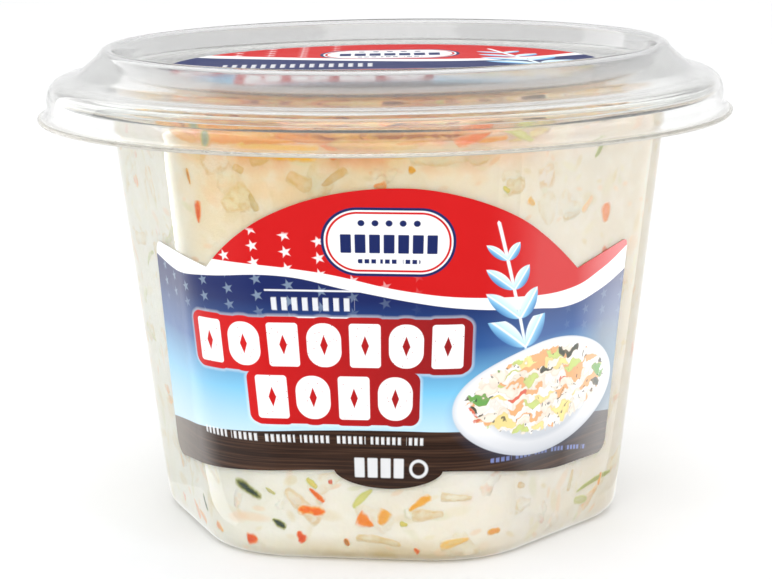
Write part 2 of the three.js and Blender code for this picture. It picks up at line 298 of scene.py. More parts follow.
tubSizes = dict(
    baseApothem=36.3,      # middle to flat side at the base
    rimApothem=43.7,       # the same where the straight wall ends
    baseCorner=18.4,       # radius of the upright corners
    rimCorner=19.0,
    wallTop=69.6,
    wall=0.8,
    edge=2.6,              # radius round the bottom edge
    footWidth=4.2,
    pushUp=1.1,
    ledge=72.2,            # underside of the round rim
    rimTop=74.2,
    rimRadius=55.8,
    tint=(0.97, 0.98, 0.965),
    gloss=0.02,
    ripple=0.05,
    clearness=0.985,
)
sixth = math.pi / 3
midApothem = (tubSizes["baseApothem"] + tubSizes["rimApothem"]) / 2
midCorner = (tubSizes["baseCorner"] + tubSizes["rimCorner"]) / 2
midFlat = 2 * (midApothem - midCorner) * math.tan(sixth / 2)
sidePitch = midFlat + midCorner * sixth
girth = 6 * sidePitch


def wallPoint(along, z, out=0.0):
    # along runs round the wall from the middle of the front face, measured at half height.
    # On a flat side the point goes straight across; past its end it turns about the corner's centre:
    # x = halfFlat + (corner + out) sin(turn), y = core + (corner + out) cos(turn)
    along, z, out = np.broadcast_arrays(np.asarray(along, float), z, out)
    share = z / tubSizes["wallTop"]
    apothem = tubSizes["baseApothem"] + (tubSizes["rimApothem"] - tubSizes["baseApothem"]) * share
    corner = tubSizes["baseCorner"] + (tubSizes["rimCorner"] - tubSizes["baseCorner"]) * share
    side = np.round(along / sidePitch)
    rest = along - side * sidePitch
    core = apothem - corner
    halfFlat = core * math.tan(sixth / 2)
    turn = np.maximum(np.abs(rest) - midFlat / 2, 0) / midCorner
    x = np.where(turn > 0, np.sign(rest) * halfFlat, rest / (midFlat / 2) * halfFlat)
    x += np.sign(rest) * (corner + out) * np.sin(turn)
    y = core + (corner + out) * np.cos(turn)
    angle = side * sixth
    return np.stack([x * np.cos(angle) + y * np.sin(angle), x * np.sin(angle) - y * np.cos(angle), z], -1)


def wallRings(stations, around=252):
    # stations is (count, 4): height, out, round, radius; round 0 is the hexagon and 1 a circle of that radius
    z, out, roundness, radius = (column[:, None] for column in np.asarray(stations, float).T)
    along = (np.arange(around) / around - 0.5)[None] * girth
    hexagon = wallPoint(along, z, out)
    flat = hexagon[..., :2]
    circle = flat / np.linalg.norm(flat, axis=-1, keepdims=True) * radius[..., None]
    rings = hexagon.copy()
    rings[..., :2] = flat + (circle - flat) * roundness[..., None]
    return rings


def curveThrough(points, steps):
    # a Catmull-Rom curve: each span blends its two points and the slopes through their neighbours
    points = np.asarray(points, float)
    padded = np.concatenate([2 * points[:1] - points[1:2], points, 2 * points[-1:] - points[-2:-1]])
    before, start, end, after = padded[:-3, None], padded[1:-2, None], padded[2:-1, None], padded[3:, None]
    t = (np.arange(steps) / steps)[None, :, None]
    curve = 0.5 * (2 * start + (end - before) * t + (2 * before - 5 * start + 4 * end - after) * t ** 2
                   + (3 * start - before - 3 * end + after) * t ** 3)
    return np.concatenate([curve.reshape(-1, points.shape[1]), points[-1:]])


# clear plastic

def plasticRipple():
    # slow waves of a formed sheet and fine scuffs: a bent normal and a roughness
    inputs = dict(Place=(0.0, 0.0, 0.0), Strength=0.1, Gloss=0.03)
    group, place, strength, gloss = newGroup("plasticRipple", inputs, Normal="Vector", Roughness="Float")
    return giveOut(group, Normal=bump(group, noise(group, place, 0.09), strength, 0.002),
                   Roughness=noise(group, place, 0.6, 4.0) * 0.06 + gloss)


rippleGroup = plasticRipple()


def clearPlastic(name, tint, gloss, ripple, clearness):
    # clear film that bends light; lamps shine straight through it so that the food inside is lit
    material, tree, shader = newMaterial(name, Base_Color=tint, IOR=1.46, Transmission_Weight=clearness)
    waves = placeGroup(tree, rippleGroup, Place=objectPlace(tree), Strength=ripple, Gloss=gloss)
    fill(tree, shader.inputs, dict(Normal=waves.outputs["Normal"], Roughness=waves.outputs["Roughness"]))
    passing = addNode(tree, "ShaderNodeBsdfTransparent", Color=tuple(0.5 + 0.5 * value for value in tint))
    showMix(tree, addNode(tree, "ShaderNodeLightPath", "Is Shadow Ray"), shader.outputs[0], passing)
    return material, tree, shader, waves


def buildTub():
    # stations from the middle of the foot up the outside, over the rim and down the inside
    s = tubSizes
    wall, edge, top, ledge, rimTop, radius = (s[key] for key in ("wall", "edge", "wallTop", "ledge", "rimTop",
                                                                 "rimRadius"))
    turn = np.linspace(0, math.pi / 2, 8)[1:]
    none = np.zeros_like(turn)
    outerEdge = np.stack([edge * (1 - np.cos(turn)), edge * (np.sin(turn) - 1), none, none], -1)
    heights = np.linspace(edge, top, 14)[1:]
    outerWall = np.stack([heights, *np.zeros((3, len(heights)))], -1)
    flare = curveThrough([[top, 0, 0, 48.2], [top + 1.1, 0, 0.3, 49.4], [top + 2.0, 0, 0.75, 51.2],
                          [ledge, 0, 1, 53.2]], 5)[1:]
    rim = [[ledge, 0, 1, radius - 0.5], [ledge + 0.15, 0, 1, radius - 0.15], [ledge + 0.5, 0, 1, radius],
           [rimTop - 0.6, 0, 1, radius], [rimTop - 0.2, 0, 1, radius - 0.2], [rimTop, 0, 1, radius - 0.6]]
    footIn = -edge - s["footWidth"]
    foot = np.array([[s["pushUp"], footIn - 1.2, 0, 0], [0.2, footIn - 0.2, 0, 0], [0, footIn + 0.5, 0, 0],
                     [0, -edge, 0, 0]])
    innerRim = [[rimTop, 0, 1, radius - wall - 0.3], [ledge + wall, 0, 1, radius - wall],
                [ledge + wall, 0, 1, 53.0]]
    innerFlare = flare[::-1] + np.array([wall / 2, -wall, 0, -wall])
    innerWall = outerWall[::-1] - np.array([0, wall, 0, 0])
    shrink = edge - wall
    innerEdge = np.stack([wall + shrink * (1 - np.cos(turn)), shrink * (np.sin(turn) - 1) - wall, none,
                          none], -1)
    innerFoot = foot[::-1] + np.array([wall, 0, 0, 0])
    stations = np.concatenate([foot, outerEdge, outerWall, flare, rim, innerRim, innerFlare[1:], innerWall,
                               innerEdge[::-1], innerFoot])
    points, faces = ringSkin(wallRings(stations))
    material = clearPlastic("clearTub", s["tint"], s["gloss"], s["ripple"], s["clearness"])[0]
    makePiece("tubShell", points, faces, material, "tub")


lidSizes = dict(
    wall=0.55,
    panelTop=76.6,         # sunken middle panel
    panelRadius=45.0,
    ringRadius=46.6,       # crest of the stacking ring
    ringTop=80.75,
    ringFoot=52.0,
    shoulder=75.6,
    skirtRadius=57.15,
    flangeRadius=58.72,
    flangeLow=68.9,
)
lidLook = dict(
    skirtTint=(0.945, 0.945, 0.935),
    ringTint=(0.78, 0.78, 0.78),
    lipTint=(0.82, 0.79, 0.72),
    gloss=0.02,
    ringDull=0.05,         # added roughness up the stacking ring
    lipDull=0.3,           # and on the trimmed lip
    ripple=0.02,
    clearness=0.97,
)


def turned(profile, around):
    # rings of points from a profile of radius and height: x = r cos(a), y = r sin(a)
    angle = np.arange(around) / around * 2 * math.pi
    radius, height = profile[:, :1], np.repeat(profile[:, 1:], around, 1)
    return np.stack([radius * np.cos(angle), radius * np.sin(angle), height], -1)


def lidPlastic():
    # milkier and duller on the ring and panel than on the skirt, and dull again at the trimmed lip
    s = lidLook
    material, tree, shader, waves = clearPlastic("clearLid", s["skirtTint"], s["gloss"], s["ripple"],
                                                 s["clearness"])
    x, y, height = axesOf(tree, objectPlace(tree))
    ring = lengthOf(x, y).share(54, 51)
    lip = height.share(70, 69)
    colour = mixColour(tree, ring, s["skirtTint"], s["ringTint"])
    plug(tree, mixColour(tree, lip, colour, s["lipTint"]), shader.inputs["Base Color"])
    plug(tree, ring * s["ringDull"] + lip * s["lipDull"] + s["gloss"], waves.inputs["Gloss"])
    return material


def buildLid():
    # a profile of radius and height, smoothed and turned round the upright axis
    s = lidSizes
    panel, crest, foot, skirt, flange = (s[key] for key in ("panelRadius", "ringRadius", "ringFoot",
                                                            "skirtRadius", "flangeRadius"))
    floor, top, shoulder, low = (s[key] for key in ("panelTop", "ringTop", "shoulder", "flangeLow"))
    outer = curveThrough([
        [panel - 6.0, floor], [panel - 1.2, floor], [panel - 0.1, floor + 0.5], [panel + 0.3, floor + 1.6],
        [panel + 0.5, top - 1.5], [crest - 0.7, top - 0.4], [crest + 0.3, top - 0.01],
        [crest + 1.2, top - 0.4], [crest + 1.9, top - 1.35], [foot - 1.0, shoulder + 1.6],
        [foot + 0.3, shoulder + 0.7],
        [skirt - 2.0, shoulder], [skirt - 0.6, shoulder - 1.1], [skirt, shoulder - 2.8], [skirt, low + 2.0],
        [skirt + 0.6, low + 1.1], [flange - 0.1, low + 0.6], [flange, low + 0.3], [flange - 0.2, low],
    ], 5)
    slope = np.gradient(outer, axis=0)
    slope /= np.linalg.norm(slope, axis=1, keepdims=True)
    inner = outer + np.stack([slope[:, 1], -slope[:, 0]], -1) * s["wall"]
    inner = inner[inner[:, 1] > low + 0.1]
    profile = np.concatenate([[[1.0, floor]], outer, inner[::-1], [[1.0, floor - s["wall"]]]])[::-1]
    points, faces = ringSkin(turned(profile, 400))
    makePiece("lidShell", points, faces, lidPlastic(), "lid")


buildTub()
buildLid()
print("tub and lid built")


# the print: fields of colour placed across and up the label, in millimetres

printSizes = dict(
    middle=6.6,            # the label's centre line, round the wall from the front face
    leftEnd=-48.45,        # where the side edges start, below the side points
    rightEnd=48.65,
    leftLean=0.0745,       # the share by which each half widens over leanDrop, down from leanTop
    rightLean=0.0145,
    leanTop=50,
    leanDrop=36,
    crown=1.9,             # place and height of the dome's crown
    top=62.15,
    leftFall=(0.0104, 0.0, 4.3e-6),      # times distance squared, cubed and to the fourth
    rightFall=(0.0172, -0.000095, 0.0),
    leftNotch=-28.65,      # where the dome ends against the low side wings
    rightNotch=35.45,
    leftWing=50.25,
    leftDip=1.55,          # how far the left wing sinks on its way in from here
    leftDipFrom=-40,
    rightWing=46.3,
    rightRise=0.24,
    bottom=16.0,
    leftSag=0.0015,        # the lower edge falls to the left with the distance squared
    rightSag=3.2,          # and steps down softly to the right, between these places
    rightStep=(10, 36),
    topCorners=(2.5, 1.2),
    lowCorners=(3.2, 2.2),
    lobeHalf=9.0,
    lobeDrop=3.1,
    film=(0.16, 0.04),     # its faces, out from the wall
    lidRadius=37.2,        # the lid's label is a disc
    lidFilm=(0.06, 0.18),  # its faces, up from the panel
    lidTurn=9.4,           # degrees that its print is turned
)
inks = dict(
    red=rgb(205, 10, 13),
    darkRed=rgb(150, 20, 24),
    white=rgb(250, 250, 250),
    navy=rgb(24, 38, 96),
    blue=rgb(36, 84, 150),
    sky=rgb(120, 196, 234),
    paleSky=rgb(205, 231, 247),
    brown=rgb(58, 37, 26),
    darkBrown=rgb(36, 22, 16),
    lightBrown=rgb(90, 64, 48),
)


def starField():
    # small tilted five-pointed stars on a slanting lattice: in each cell the angle is folded into a tenth
    # of a turn, and a star is the side of the line from its outer to its inner point
    group, across, up, radius = newGroup("starField", dict(Across=0.0, Up=0.0, Radius=1.0), Mask="Float")
    columnPitch, rowPitch, sink, tilt = 4.9, 2.68, 0.92, math.radians(15)
    column = (across / columnPitch).whole()
    x = across - (column + 0.5) * columnPitch
    y = (up + column * sink).wrapped(rowPitch) - rowPitch * 0.5
    reach = lengthOf(x, y)
    fifth = 2 * math.pi / 5
    turn = ((x.math("ARCTAN2", y) + math.pi + tilt).wrapped(fifth) - fifth / 2).size()
    innerX, innerY = 0.42 * math.cos(fifth / 2), 0.42 * math.sin(fifth / 2)
    length = math.hypot(1 - innerX, innerY)
    side = (reach * turn.math("COSINE") - radius) * (innerY / length)
    side = side + reach * turn.math("SINE") * ((1 - innerX) / length)
    return giveOut(group, Mask=side.below(0.0, 0.15))


def roundedBar():
    # distance to a box with round corners: length(max(|p| - half + corner, 0)) - corner
    sizes = dict(Across=0.0, Up=0.0, Half_Across=5.0, Half_Up=1.0, Corner=0.5)
    group, across, up, halfAcross, halfUp, corner = newGroup("roundedBar", sizes, Distance="Float")
    overX = across.size() - halfAcross + corner
    overY = up.size() - halfUp + corner
    inside = overX.most(overY).least(0.0)
    return giveOut(group, Distance=lengthOf(overX.most(0.0), overY.most(0.0)) + inside - corner)


def woodGrain():
    # brown boards: noise drawn out along the grain, with thin dark pores and paler streaks
    group, across, up = newGroup("woodGrain", dict(Across=0.0, Up=0.0), Color="Color")
    streak = noise(group, joined(group, across * 0.035, up * 2.0), 1.0, 5.0, Distortion=0.15)
    pore = noise(group, joined(group, across * 0.07, up * 6.0, 3.0), 1.0, 4.0)
    stops = [(0.30, inks["darkBrown"]), (0.5, inks["brown"]), (0.72, inks["lightBrown"])]
    return giveOut(group, Color=mixColour(group, pore.below(0.46) * 0.65, ramp(group, streak, stops),
                                          inks["darkBrown"]))


starGroup = starField()
barGroup = roundedBar()
woodGroup = woodGrain()


def bar(tree, across, up, centre, half, corner):
    node = placeGroup(tree, barGroup, Across=across - centre[0], Up=up - centre[1], Half_Across=half[0],
                      Half_Up=half[1], Corner=corner)
    return Term(tree, node.outputs["Distance"])


def frieze(tree, across, up, centre, count, pitch, half, ovals=False):
    # a row of blank blocks, or of blocks and ovals by turns; returns the distance to the nearest of them
    x = across - centre[0] + count * pitch / 2
    number = (x / pitch).whole().most(0.0).least(count - 1.0)
    local = x - (number + 0.5) * pitch
    block = bar(tree, local, up, (0, centre[1]), (pitch * 0.38, half), pitch * 0.08)
    if not ovals:
        return block
    oval = bar(tree, local, up, (0, centre[1]), (pitch * 0.42, half), pitch * 0.4)
    return block + (oval - block) * number.wrapped(2.0)


def dashes(tree, across, up, centre, half, pitch, gap, group=1000.0, groupGap=0.0):
    # a line of blank dashes, in groups parted by wider gaps; returns the distance to the nearest
    line = bar(tree, across, up, centre, half, min(half[1], 0.25))
    start = across - centre[0] + half[0]
    return line.most(start.wrapped(pitch) - pitch + gap).most(start.wrapped(group) - group + groupGap)


def boundary(tree, across, points, low, high):
    # a height that follows a smooth curve of across, given by listed points
    start, end = points[0][0], points[-1][0]
    node = tree.nodes.new("ShaderNodeFloatCurve")
    plug(tree, (across - start) * (1 / (end - start)), node.inputs["Value"])
    curve = node.mapping.curves[0]
    places = [((x - start) / (end - start), (y - low) / (high - low)) for x, y in points]
    curve.points[0].location, curve.points[1].location = places[0], places[-1]
    for place in places[1:-1]:
        curve.points.new(*place)
    node.mapping.update()
    return Term(tree, node.outputs[0]) * (high - low) + low


def layered(tree, colour, layers):
    # colours laid on one after another, each by its own share
    for share, ink in layers:
        colour = mixColour(tree, share, colour, ink)
    return colour


def printSprig(tree, across, up, colour):
    # a pale sprig: pairs of pointed leaves up a stem, each leaf where two equal circles overlap
    middle, foot, lean, leanFrom = 29.4, 35.4, 0.3, 36
    pitch, tilt, bow, reach = 4.9, math.radians(43), 4.2, 5.9
    x = (across - middle) + (up - leanFrom) * lean
    rise = up - foot
    step = (rise / pitch).whole().most(0.0).least(3.0)
    shrink = 1.0 - step * 0.17
    localX = x.size() / shrink
    localY = (rise - step * pitch) / shrink
    alongLeaf = localX * math.cos(tilt) + localY * math.sin(tilt) - 4.2
    acrossLeaf = localY * math.cos(tilt) - localX * math.sin(tilt)
    leaf = lengthOf(alongLeaf, acrossLeaf.size() + bow) - reach
    stem = x.size() + (rise - 9.5).size().most(11.5) - 11.8
    shade = ramp(tree, acrossLeaf * 0.28 + 0.5, [(0.0, rgb(60, 118, 180)), (0.35, rgb(128, 190, 228)),
                                                 (0.6, rgb(196, 228, 244)), (1.0, rgb(240, 248, 252))])
    shade = mixColour(tree, acrossLeaf.size().below(0.2, 0.2) * 0.8, shade, inks["white"])
    return mixColour(tree, leaf.least(stem).below(0.0, 0.2), colour, shade)


def printPlate(tree, across, up, colour):
    # an oval white plate from above, heaped with drawn-out cells in salad colours
    middle, height, radius = 35.9, 26.1, 9.5
    x, y = across - middle, up - height
    reach = lengthOf(x * 0.5, y)
    shadow = lengthOf(x * 0.5 - 0.3, y + 0.8)
    china = ramp(tree, reach * 0.1, [(0.66, rgb(214, 218, 223)), (0.74, rgb(250, 250, 251)),
                                     (0.88, rgb(246, 247, 249)), (0.96, rgb(206, 211, 218))])
    china = mixColour(tree, ((y + 2.0) * -0.12).clamped() * 0.8, china, rgb(176, 181, 190))
    colour = layered(tree, colour, [(shadow.below(radius, 2.0) * 0.4, rgb(60, 80, 110)),
                                    (reach.below(radius), china)])
    flat = joined(tree, x, y)
    wander = addNode(tree, "ShaderNodeTexNoise", "Color", Vector=flat, Scale=0.32, Detail=2.0)
    bent = vectorMath(tree, "MULTIPLY_ADD", wander, (5.5, 5.5, 0.0), flat)
    drawn = addNode(tree, "ShaderNodeMapping", Vector=bent, Rotation=(0, 0, 0.6), Scale=(0.32, 0.85, 1.0))
    pick = addNode(tree, "ShaderNodeSeparateColor", Color=cells(tree, drawn, 1.0, "Color"))
    salad = ramp(tree, pick, [(0.0, rgb(252, 248, 242)), (0.36, rgb(244, 234, 220)),
                              (0.56, rgb(202, 216, 128)), (0.64, rgb(112, 168, 88)),
                              (0.70, rgb(240, 176, 120)), (0.79, rgb(222, 104, 82)),
                              (0.86, rgb(248, 228, 150)), (0.94, rgb(72, 76, 64))], "CONSTANT")
    edge = Term(tree, cells(tree, drawn, 1.0, feature="DISTANCE_TO_EDGE"))
    seeds = Term(tree, cells(tree, bent, 0.8))
    salad = layered(tree, salad, [(edge.below(0.1, 0.2) * 0.3, rgb(186, 160, 130)),
                                  (seeds.below(0.18, 0.1) * 0.8, rgb(52, 54, 60))])
    heapY = y - 1.2
    heap = (x * x * 0.17 + heapY * heapY).root() + noise(tree, flat, 0.8) * 2.2
    return mixColour(tree, heap.below(7.9, 0.3), colour, salad)


def printBadge(tree, across, up, colour):
    # a blank oval badge with a navy and a red line, a row of plain blocks, dashes and dots
    middle = 6.7
    oval = bar(tree, across, up, (middle, 53.6), (9.9, 5.5), 5.4)
    blocks = frieze(tree, across, up, (middle, 53.3), 7, 2.1, 1.5)
    line = dashes(tree, across, up, (middle, 50.5), (4.6, 0.35), 1.0, 0.3, 3.3, 0.6)
    dotX = (across - middle + 5.0).wrapped(2.0) - 1.0
    dots = bar(tree, dotX, up, (0, 56.6), (0.5, 0.5), 0.5).most((across - middle).size() - 4.9)
    marks = blocks.least(line).least(dots)
    rings = ((0.0, "navy"), (-0.45, "white"), (-0.7, "red"), (-1.05, "white"))
    layers = [(oval.below(inset), inks[ink]) for inset, ink in rings]
    return layered(tree, colour, layers + [(marks.below(0.0), inks["navy"])])


def printTitle(tree, across, up, colour):
    # two rows of blank white blocks and ovals, each with a small diamond, in one joined red surround
    slope = up + (across + 3) * -0.004
    rows = [(-3.6, 36.7, 7, 6.5, 22.3, -26.35), (-2.5, 28.0, 4, 6.8, 13.2, -16.1)]
    first, second = (frieze(tree, across, slope, (middle, height), count, pitch, 3.6, ovals=True)
                     for middle, height, count, pitch, half, start in rows)
    upper, lower = (bar(tree, across, slope, (middle, height), (half, 3.4), 0.5)
                    for middle, height, count, pitch, half, start in rows)
    both = first.least(second)
    surround = both.least(upper).least(lower)
    tint = ramp(tree, (across + 30) * (1 / 55), [(0.25, inks["red"]), (0.8, inks["darkRed"])])
    speck = Term(tree, cells(tree, joined(tree, across, up), 1.15))
    worn = mixColour(tree, speck.below(0.1, 0.06) * 0.8, inks["white"], tint)
    colour = layered(tree, colour, [(surround.below(1.45, 0.4) * 0.3, inks["white"]),
                                    (surround.below(1.05), tint), (both.below(0.0), worn)])
    for middle, height, count, pitch, half, start in rows:
        x = (across - start).wrapped(pitch) - pitch / 2
        diamond = x.size() * 1.6 + (slope - height).size() * 0.6 - 1.0
        colour = mixColour(tree, diamond.most(both).below(0.0, 0.15), colour, tint)
    return colour


def printLines(tree, across, up, colour):
    # thin ruled lines over the title, and small blank dashes where wording would stand
    for height in (45.6, 41.2):
        line = bar(tree, across, up, (-5.0, height), (7.2, 0.09), 0.05)
        colour = mixColour(tree, line.below(0.05, 0.15) * 0.85, colour, inks["white"])
    heading = dashes(tree, across, up, (-5.0, 43.4), (6.4, 1.05), 1.6, 0.75)
    caption = dashes(tree, across, up, (-7.2, 21.0), (19.8, 0.62), 0.95, 0.42, 6.1, 0.9)
    weight = frieze(tree, across, up, (4.9, 16.4), 4, 2.3, 1.65)
    mark = bar(tree, across, up, (11.8, 16.4), (1.6, 1.6), 1.6)
    marks = heading.least(caption).least(weight).least(mark.most(mark * -1 - 0.5))
    lowLine = up + (across - 23) * (across - 23) * 0.0035
    origin = dashes(tree, across, lowLine, (36.6, 17.2), (13.0, 0.36), 1.0, 0.35, 4.9, 0.8)
    return layered(tree, colour, [(marks.below(0.0, 0.2) * 0.85, rgb(238, 240, 242)),
                                  (origin.below(0.0, 0.2) * 0.8, rgb(132, 146, 206))])


def frontPrintAndPaintedLight():
    # the front label's print, with painted sheen, shade and glare towards its ends: ground fields from the
    # bottom up, then each motif over them
    group, across, up = newGroup("frontPrintAndPaintedLight", dict(Across=0.0, Up=0.0), Color="Color")
    redFoot = boundary(group, across, [(-50, 50.6), (-21, 50.2), (-5, 48.7), (10, 45.6), (26, 44.1),
                                       (41, 43.3), (48, 44.9), (58, 49.6), (70, 55)], 30, 60)
    navyTop = boundary(group, across, [(-50, 49.2), (-42, 47.9), (-30, 46.9), (-22, 47.4), (-11, 48),
                                       (1, 45.7), (12, 43.7), (31, 41.5), (41, 40.4), (48, 41.5),
                                       (58, 45.4), (70, 50)], 30, 60)
    sky = ramp(group, (up - 20) * (1 / 30), [(0.02, inks["paleSky"]), (0.30, inks["sky"]),
                                             (0.55, inks["blue"]), (0.80, inks["navy"])])
    # painted sheen: the sky turns paler towards both ends of the label, more on the left, standing for the
    # side lights' reflection where the label turns round the corners
    paintedSheenEnds = (across - 6).size().least(across * -0.3 + 27) * (1 / 48)
    # painted shade and painted glare: grey over the sky low on the right end, where the label turns away from
    # the light and catches a dull reflection
    paintedShadeAndGlare = across.share(44, 51) * up.share(42, 34)
    stars = placeGroup(group, starGroup, Across=across + 1.2, Up=up - 0.4, Radius=0.95)
    stars = Term(group, stars.outputs["Mask"])
    leftShare = ((12 - across) * 0.06).clamped()
    faint = leftShare * 0.3 * up.above(42, 3.0) + across.share(36, 46) * 0.1 * up.above(36, 3.0)
    starTop = 56.2 - (across + 20) * 0.12
    starShare = stars * leftShare * (up - starTop).below(0.0, 0.5)
    red = mixColour(group, starShare * 0.85, inks["red"], inks["white"])
    overNavy = (up - navyTop).above(0.0)
    leftWing = across.below(printSizes["middle"] + printSizes["leftNotch"] + 0.2)
    woodTop = (across - 8) * (across - 8) * -0.0012 + 22.7
    wood = placeGroup(group, woodGroup, Across=across, Up=up).outputs["Color"]
    # painted glare: the wood turns a pale brownish grey towards the left end, standing for the side light's
    # reflection on the film
    wood = mixColour(group, across.share(-24, -44) * 0.6, wood, rgb(168, 158, 148))
    colour = layered(group, sky, [
        (paintedSheenEnds * paintedSheenEnds * (46 - up) * 0.022, inks["paleSky"]), (paintedShadeAndGlare * 0.75, rgb(118, 126, 136)),
        (stars * faint, inks["paleSky"]), (overNavy, inks["white"]), ((up - redFoot).above(0.0), red),
        (leftWing * overNavy, inks["white"]), ((up - woodTop).below(0.0), wood)])
    for motif in (printLines, printBadge, printSprig, printTitle, printPlate):
        colour = motif(group, across, up, colour)
    return giveOut(group, Color=colour)


def lidPrint():
    # the lid's print has the same parts laid out wider and much deeper, so each is placed with its own scale
    group, across, up = newGroup("lidPrint", dict(Across=0.0, Up=0.0), Color="Color")
    redFoot = boundary(group, across, [(-40, 24), (-28, 19.5), (-22.8, 17.1), (-14.7, 14.2), (-6.7, 11.6),
                                       (2.7, 9.4), (12, 8.4), (22.7, 9.4), (28.2, 12), (33, 15.8), (40, 20)],
                       -40, 40)
    navyTop = boundary(group, across, [(-40, 21), (-30.7, 15.9), (-22.6, 12.9), (-14.6, 10.3), (-6.7, 7.9),
                                       (2.7, 5.6), (9.6, 4.8), (15.2, 4.8), (22.6, 6.2), (28, 8.7),
                                       (33.5, 12), (40, 16)], -40, 40)
    ground = ramp(group, (up + 38) * (1 / 40), [(0.05, inks["paleSky"]), (0.3, inks["sky"]),
                                                (0.6, inks["blue"]), (0.8, inks["navy"])])
    stars = placeGroup(group, starGroup, Across=across * 0.85, Up=up * 0.7, Radius=0.95)
    starShare = Term(group, stars.outputs["Mask"]) * across.below(-8, 6) * 0.6
    wood = placeGroup(group, woodGroup, Across=across, Up=up).outputs["Color"]
    heading = dashes(group, across, up, (-14.7, 0.2), (12.9, 2.9), 1.65, 0.85)
    colour = layered(group, ground, [
        ((up - navyTop).above(0.0, 0.4), inks["white"]),
        ((up - redFoot).above(0.0, 0.4), mixColour(group, starShare, inks["red"], inks["white"])),
        (up.below(-32, 0.5), wood), (heading.below(0.0, 0.3) * 0.7, inks["white"])])
    # each motif, a place on the lid, the front's size over the lid's, and the same place on the front
    motifs = ((printPlate, (24, -19), (0.8, 0.8), (35.9, 26.1)),
              (printBadge, (1.0, 18.6), (0.8, 0.66), (6.7, 53.6)),
              (printSprig, (16, 28), (0.8, 0.74), (21, 58)),
              (printTitle, (-8.6, -7.0), (0.9, 0.75), (-3.0, 41.3)))
    for motif, onLid, scale, onFront in motifs:
        colour = motif(group, (across - onLid[0]) * scale[0] + onFront[0],
                       (up - onLid[1]) * scale[1] + onFront[1], colour)
    return giveOut(group, Color=colour)


def printedFilm(name, fields, roughness, sheen, coatFrom, coatTo):
    # ink under a satin film with a white back, glossier from one place to another
    material, tree, shader = newMaterial(name, IOR=1.48, Specular_IOR_Level=sheen, Coat_IOR=1.8,
                                         Coat_Roughness=0.2)
    axes = axesOf(tree, addNode(tree, "ShaderNodeUVMap", 0, dict(uv_map="printPlace")))
    across, up = ((axis - 0.5) * 100 for axis in axes[:2])
    printed = placeGroup(tree, fields, Across=across, Up=up).outputs["Color"]
    waves = placeGroup(tree, rippleGroup, Place=objectPlace(tree), Strength=0.05)
    fill(tree, shader.inputs, dict(
        Base_Color=mixColour(tree, pointValue(tree, "inked"), inks["white"], printed),
        Coat_Weight=across.share(coatFrom, coatTo),
        Roughness=noise(tree, objectPlace(tree), 0.5, 3.0) * 0.08 + roughness,
        Normal=waves.outputs["Normal"]))
    return material


def cornerPull(fromEnd, radius):
    # how far a rounded corner draws an edge in at d from the end: r - sqrt(r^2 - (r - d)^2)
    short = np.clip(radius - fromEnd, 0, radius)
    return radius - np.sqrt(radius ** 2 - short ** 2)


def frontLabelTop(x):
    # a dome, top - a d^2 - b d^3 - c d^4 on each side of its crown, between two low wings
    s = printSizes
    d = np.abs(x - s["crown"])
    a, b, c = (np.where(x < s["crown"], left, right) for left, right in zip(s["leftFall"], s["rightFall"]))
    dome = s["top"] - a * d ** 2 - b * d ** 3 - c * d ** 4
    inward = np.maximum(x - s["leftDipFrom"], 0) / (s["leftNotch"] - s["leftDipFrom"])
    leftWing = s["leftWing"] - s["leftDip"] * inward ** 2 - cornerPull(x - s["leftEnd"], s["topCorners"][0])
    rightWing = s["rightWing"] + s["rightRise"] * (x - s["rightNotch"])
    rightWing -= cornerPull(s["rightEnd"] - x, s["topCorners"][1])
    return np.where(x < s["leftNotch"], leftWing, np.where(x > s["rightNotch"], rightWing, dome))


def frontLabelBottom(x):
    # falls to the left with the distance squared and to the right in a soft step, with round corners and
    # a lobe, drop (1 - (x / half)^2)^0.6
    s = printSizes
    z = s["bottom"] - s["leftSag"] * np.minimum(x, 0) ** 2 - s["rightSag"] * smoothSteps(x, *s["rightStep"])
    z += cornerPull(x - s["leftEnd"], s["lowCorners"][0]) + cornerPull(s["rightEnd"] - x, s["lowCorners"][1])
    lobe = np.clip(1 - (x / s["lobeHalf"]) ** 2, 0, 1) ** 0.6
    return z - s["lobeDrop"] * lobe


def buildFrontLabel():
    # a thin closed sheet on the wall, its rows evenly spaced from the lower edge to the upper one
    s = printSizes
    left, right = s["leftEnd"], s["rightEnd"]
    ends = np.linspace(0, 1, 14) ** 2 * s["lowCorners"][0]
    lobe = s["lobeHalf"] * np.sin(np.linspace(-1, 1, 40) * math.pi / 2)
    x = np.concatenate([np.linspace(left, right, 220), left + ends, right - ends, lobe,
                        [s["leftNotch"], s["rightNotch"]]])
    x = np.unique(np.round(x, 3))
    low, high = frontLabelBottom(x), frontLabelTop(x)
    z = low + (high - low) * np.linspace(0, 1, 40)[:, None]
    lean = np.where(x < 0, s["leftLean"], s["rightLean"])
    along = s["middle"] + x * (1 + lean * (s["leanTop"] - z) / s["leanDrop"])
    points, faces = sheetSkin(*(wallPoint(along, z, out) for out in s["film"]))
    material = printedFilm("frontPrintAndPaintedLight", frontPrintAndPaintedLight(), 0.3, 0.25, 42, 54)
    piece = makePiece("frontLabelFilm", points, faces, material, "front_label")
    setPointValues(piece, "inked", np.ones(len(points)))
    setPrintPlace(piece, np.tile(along.ravel(), 2), np.tile(z.ravel(), 2))


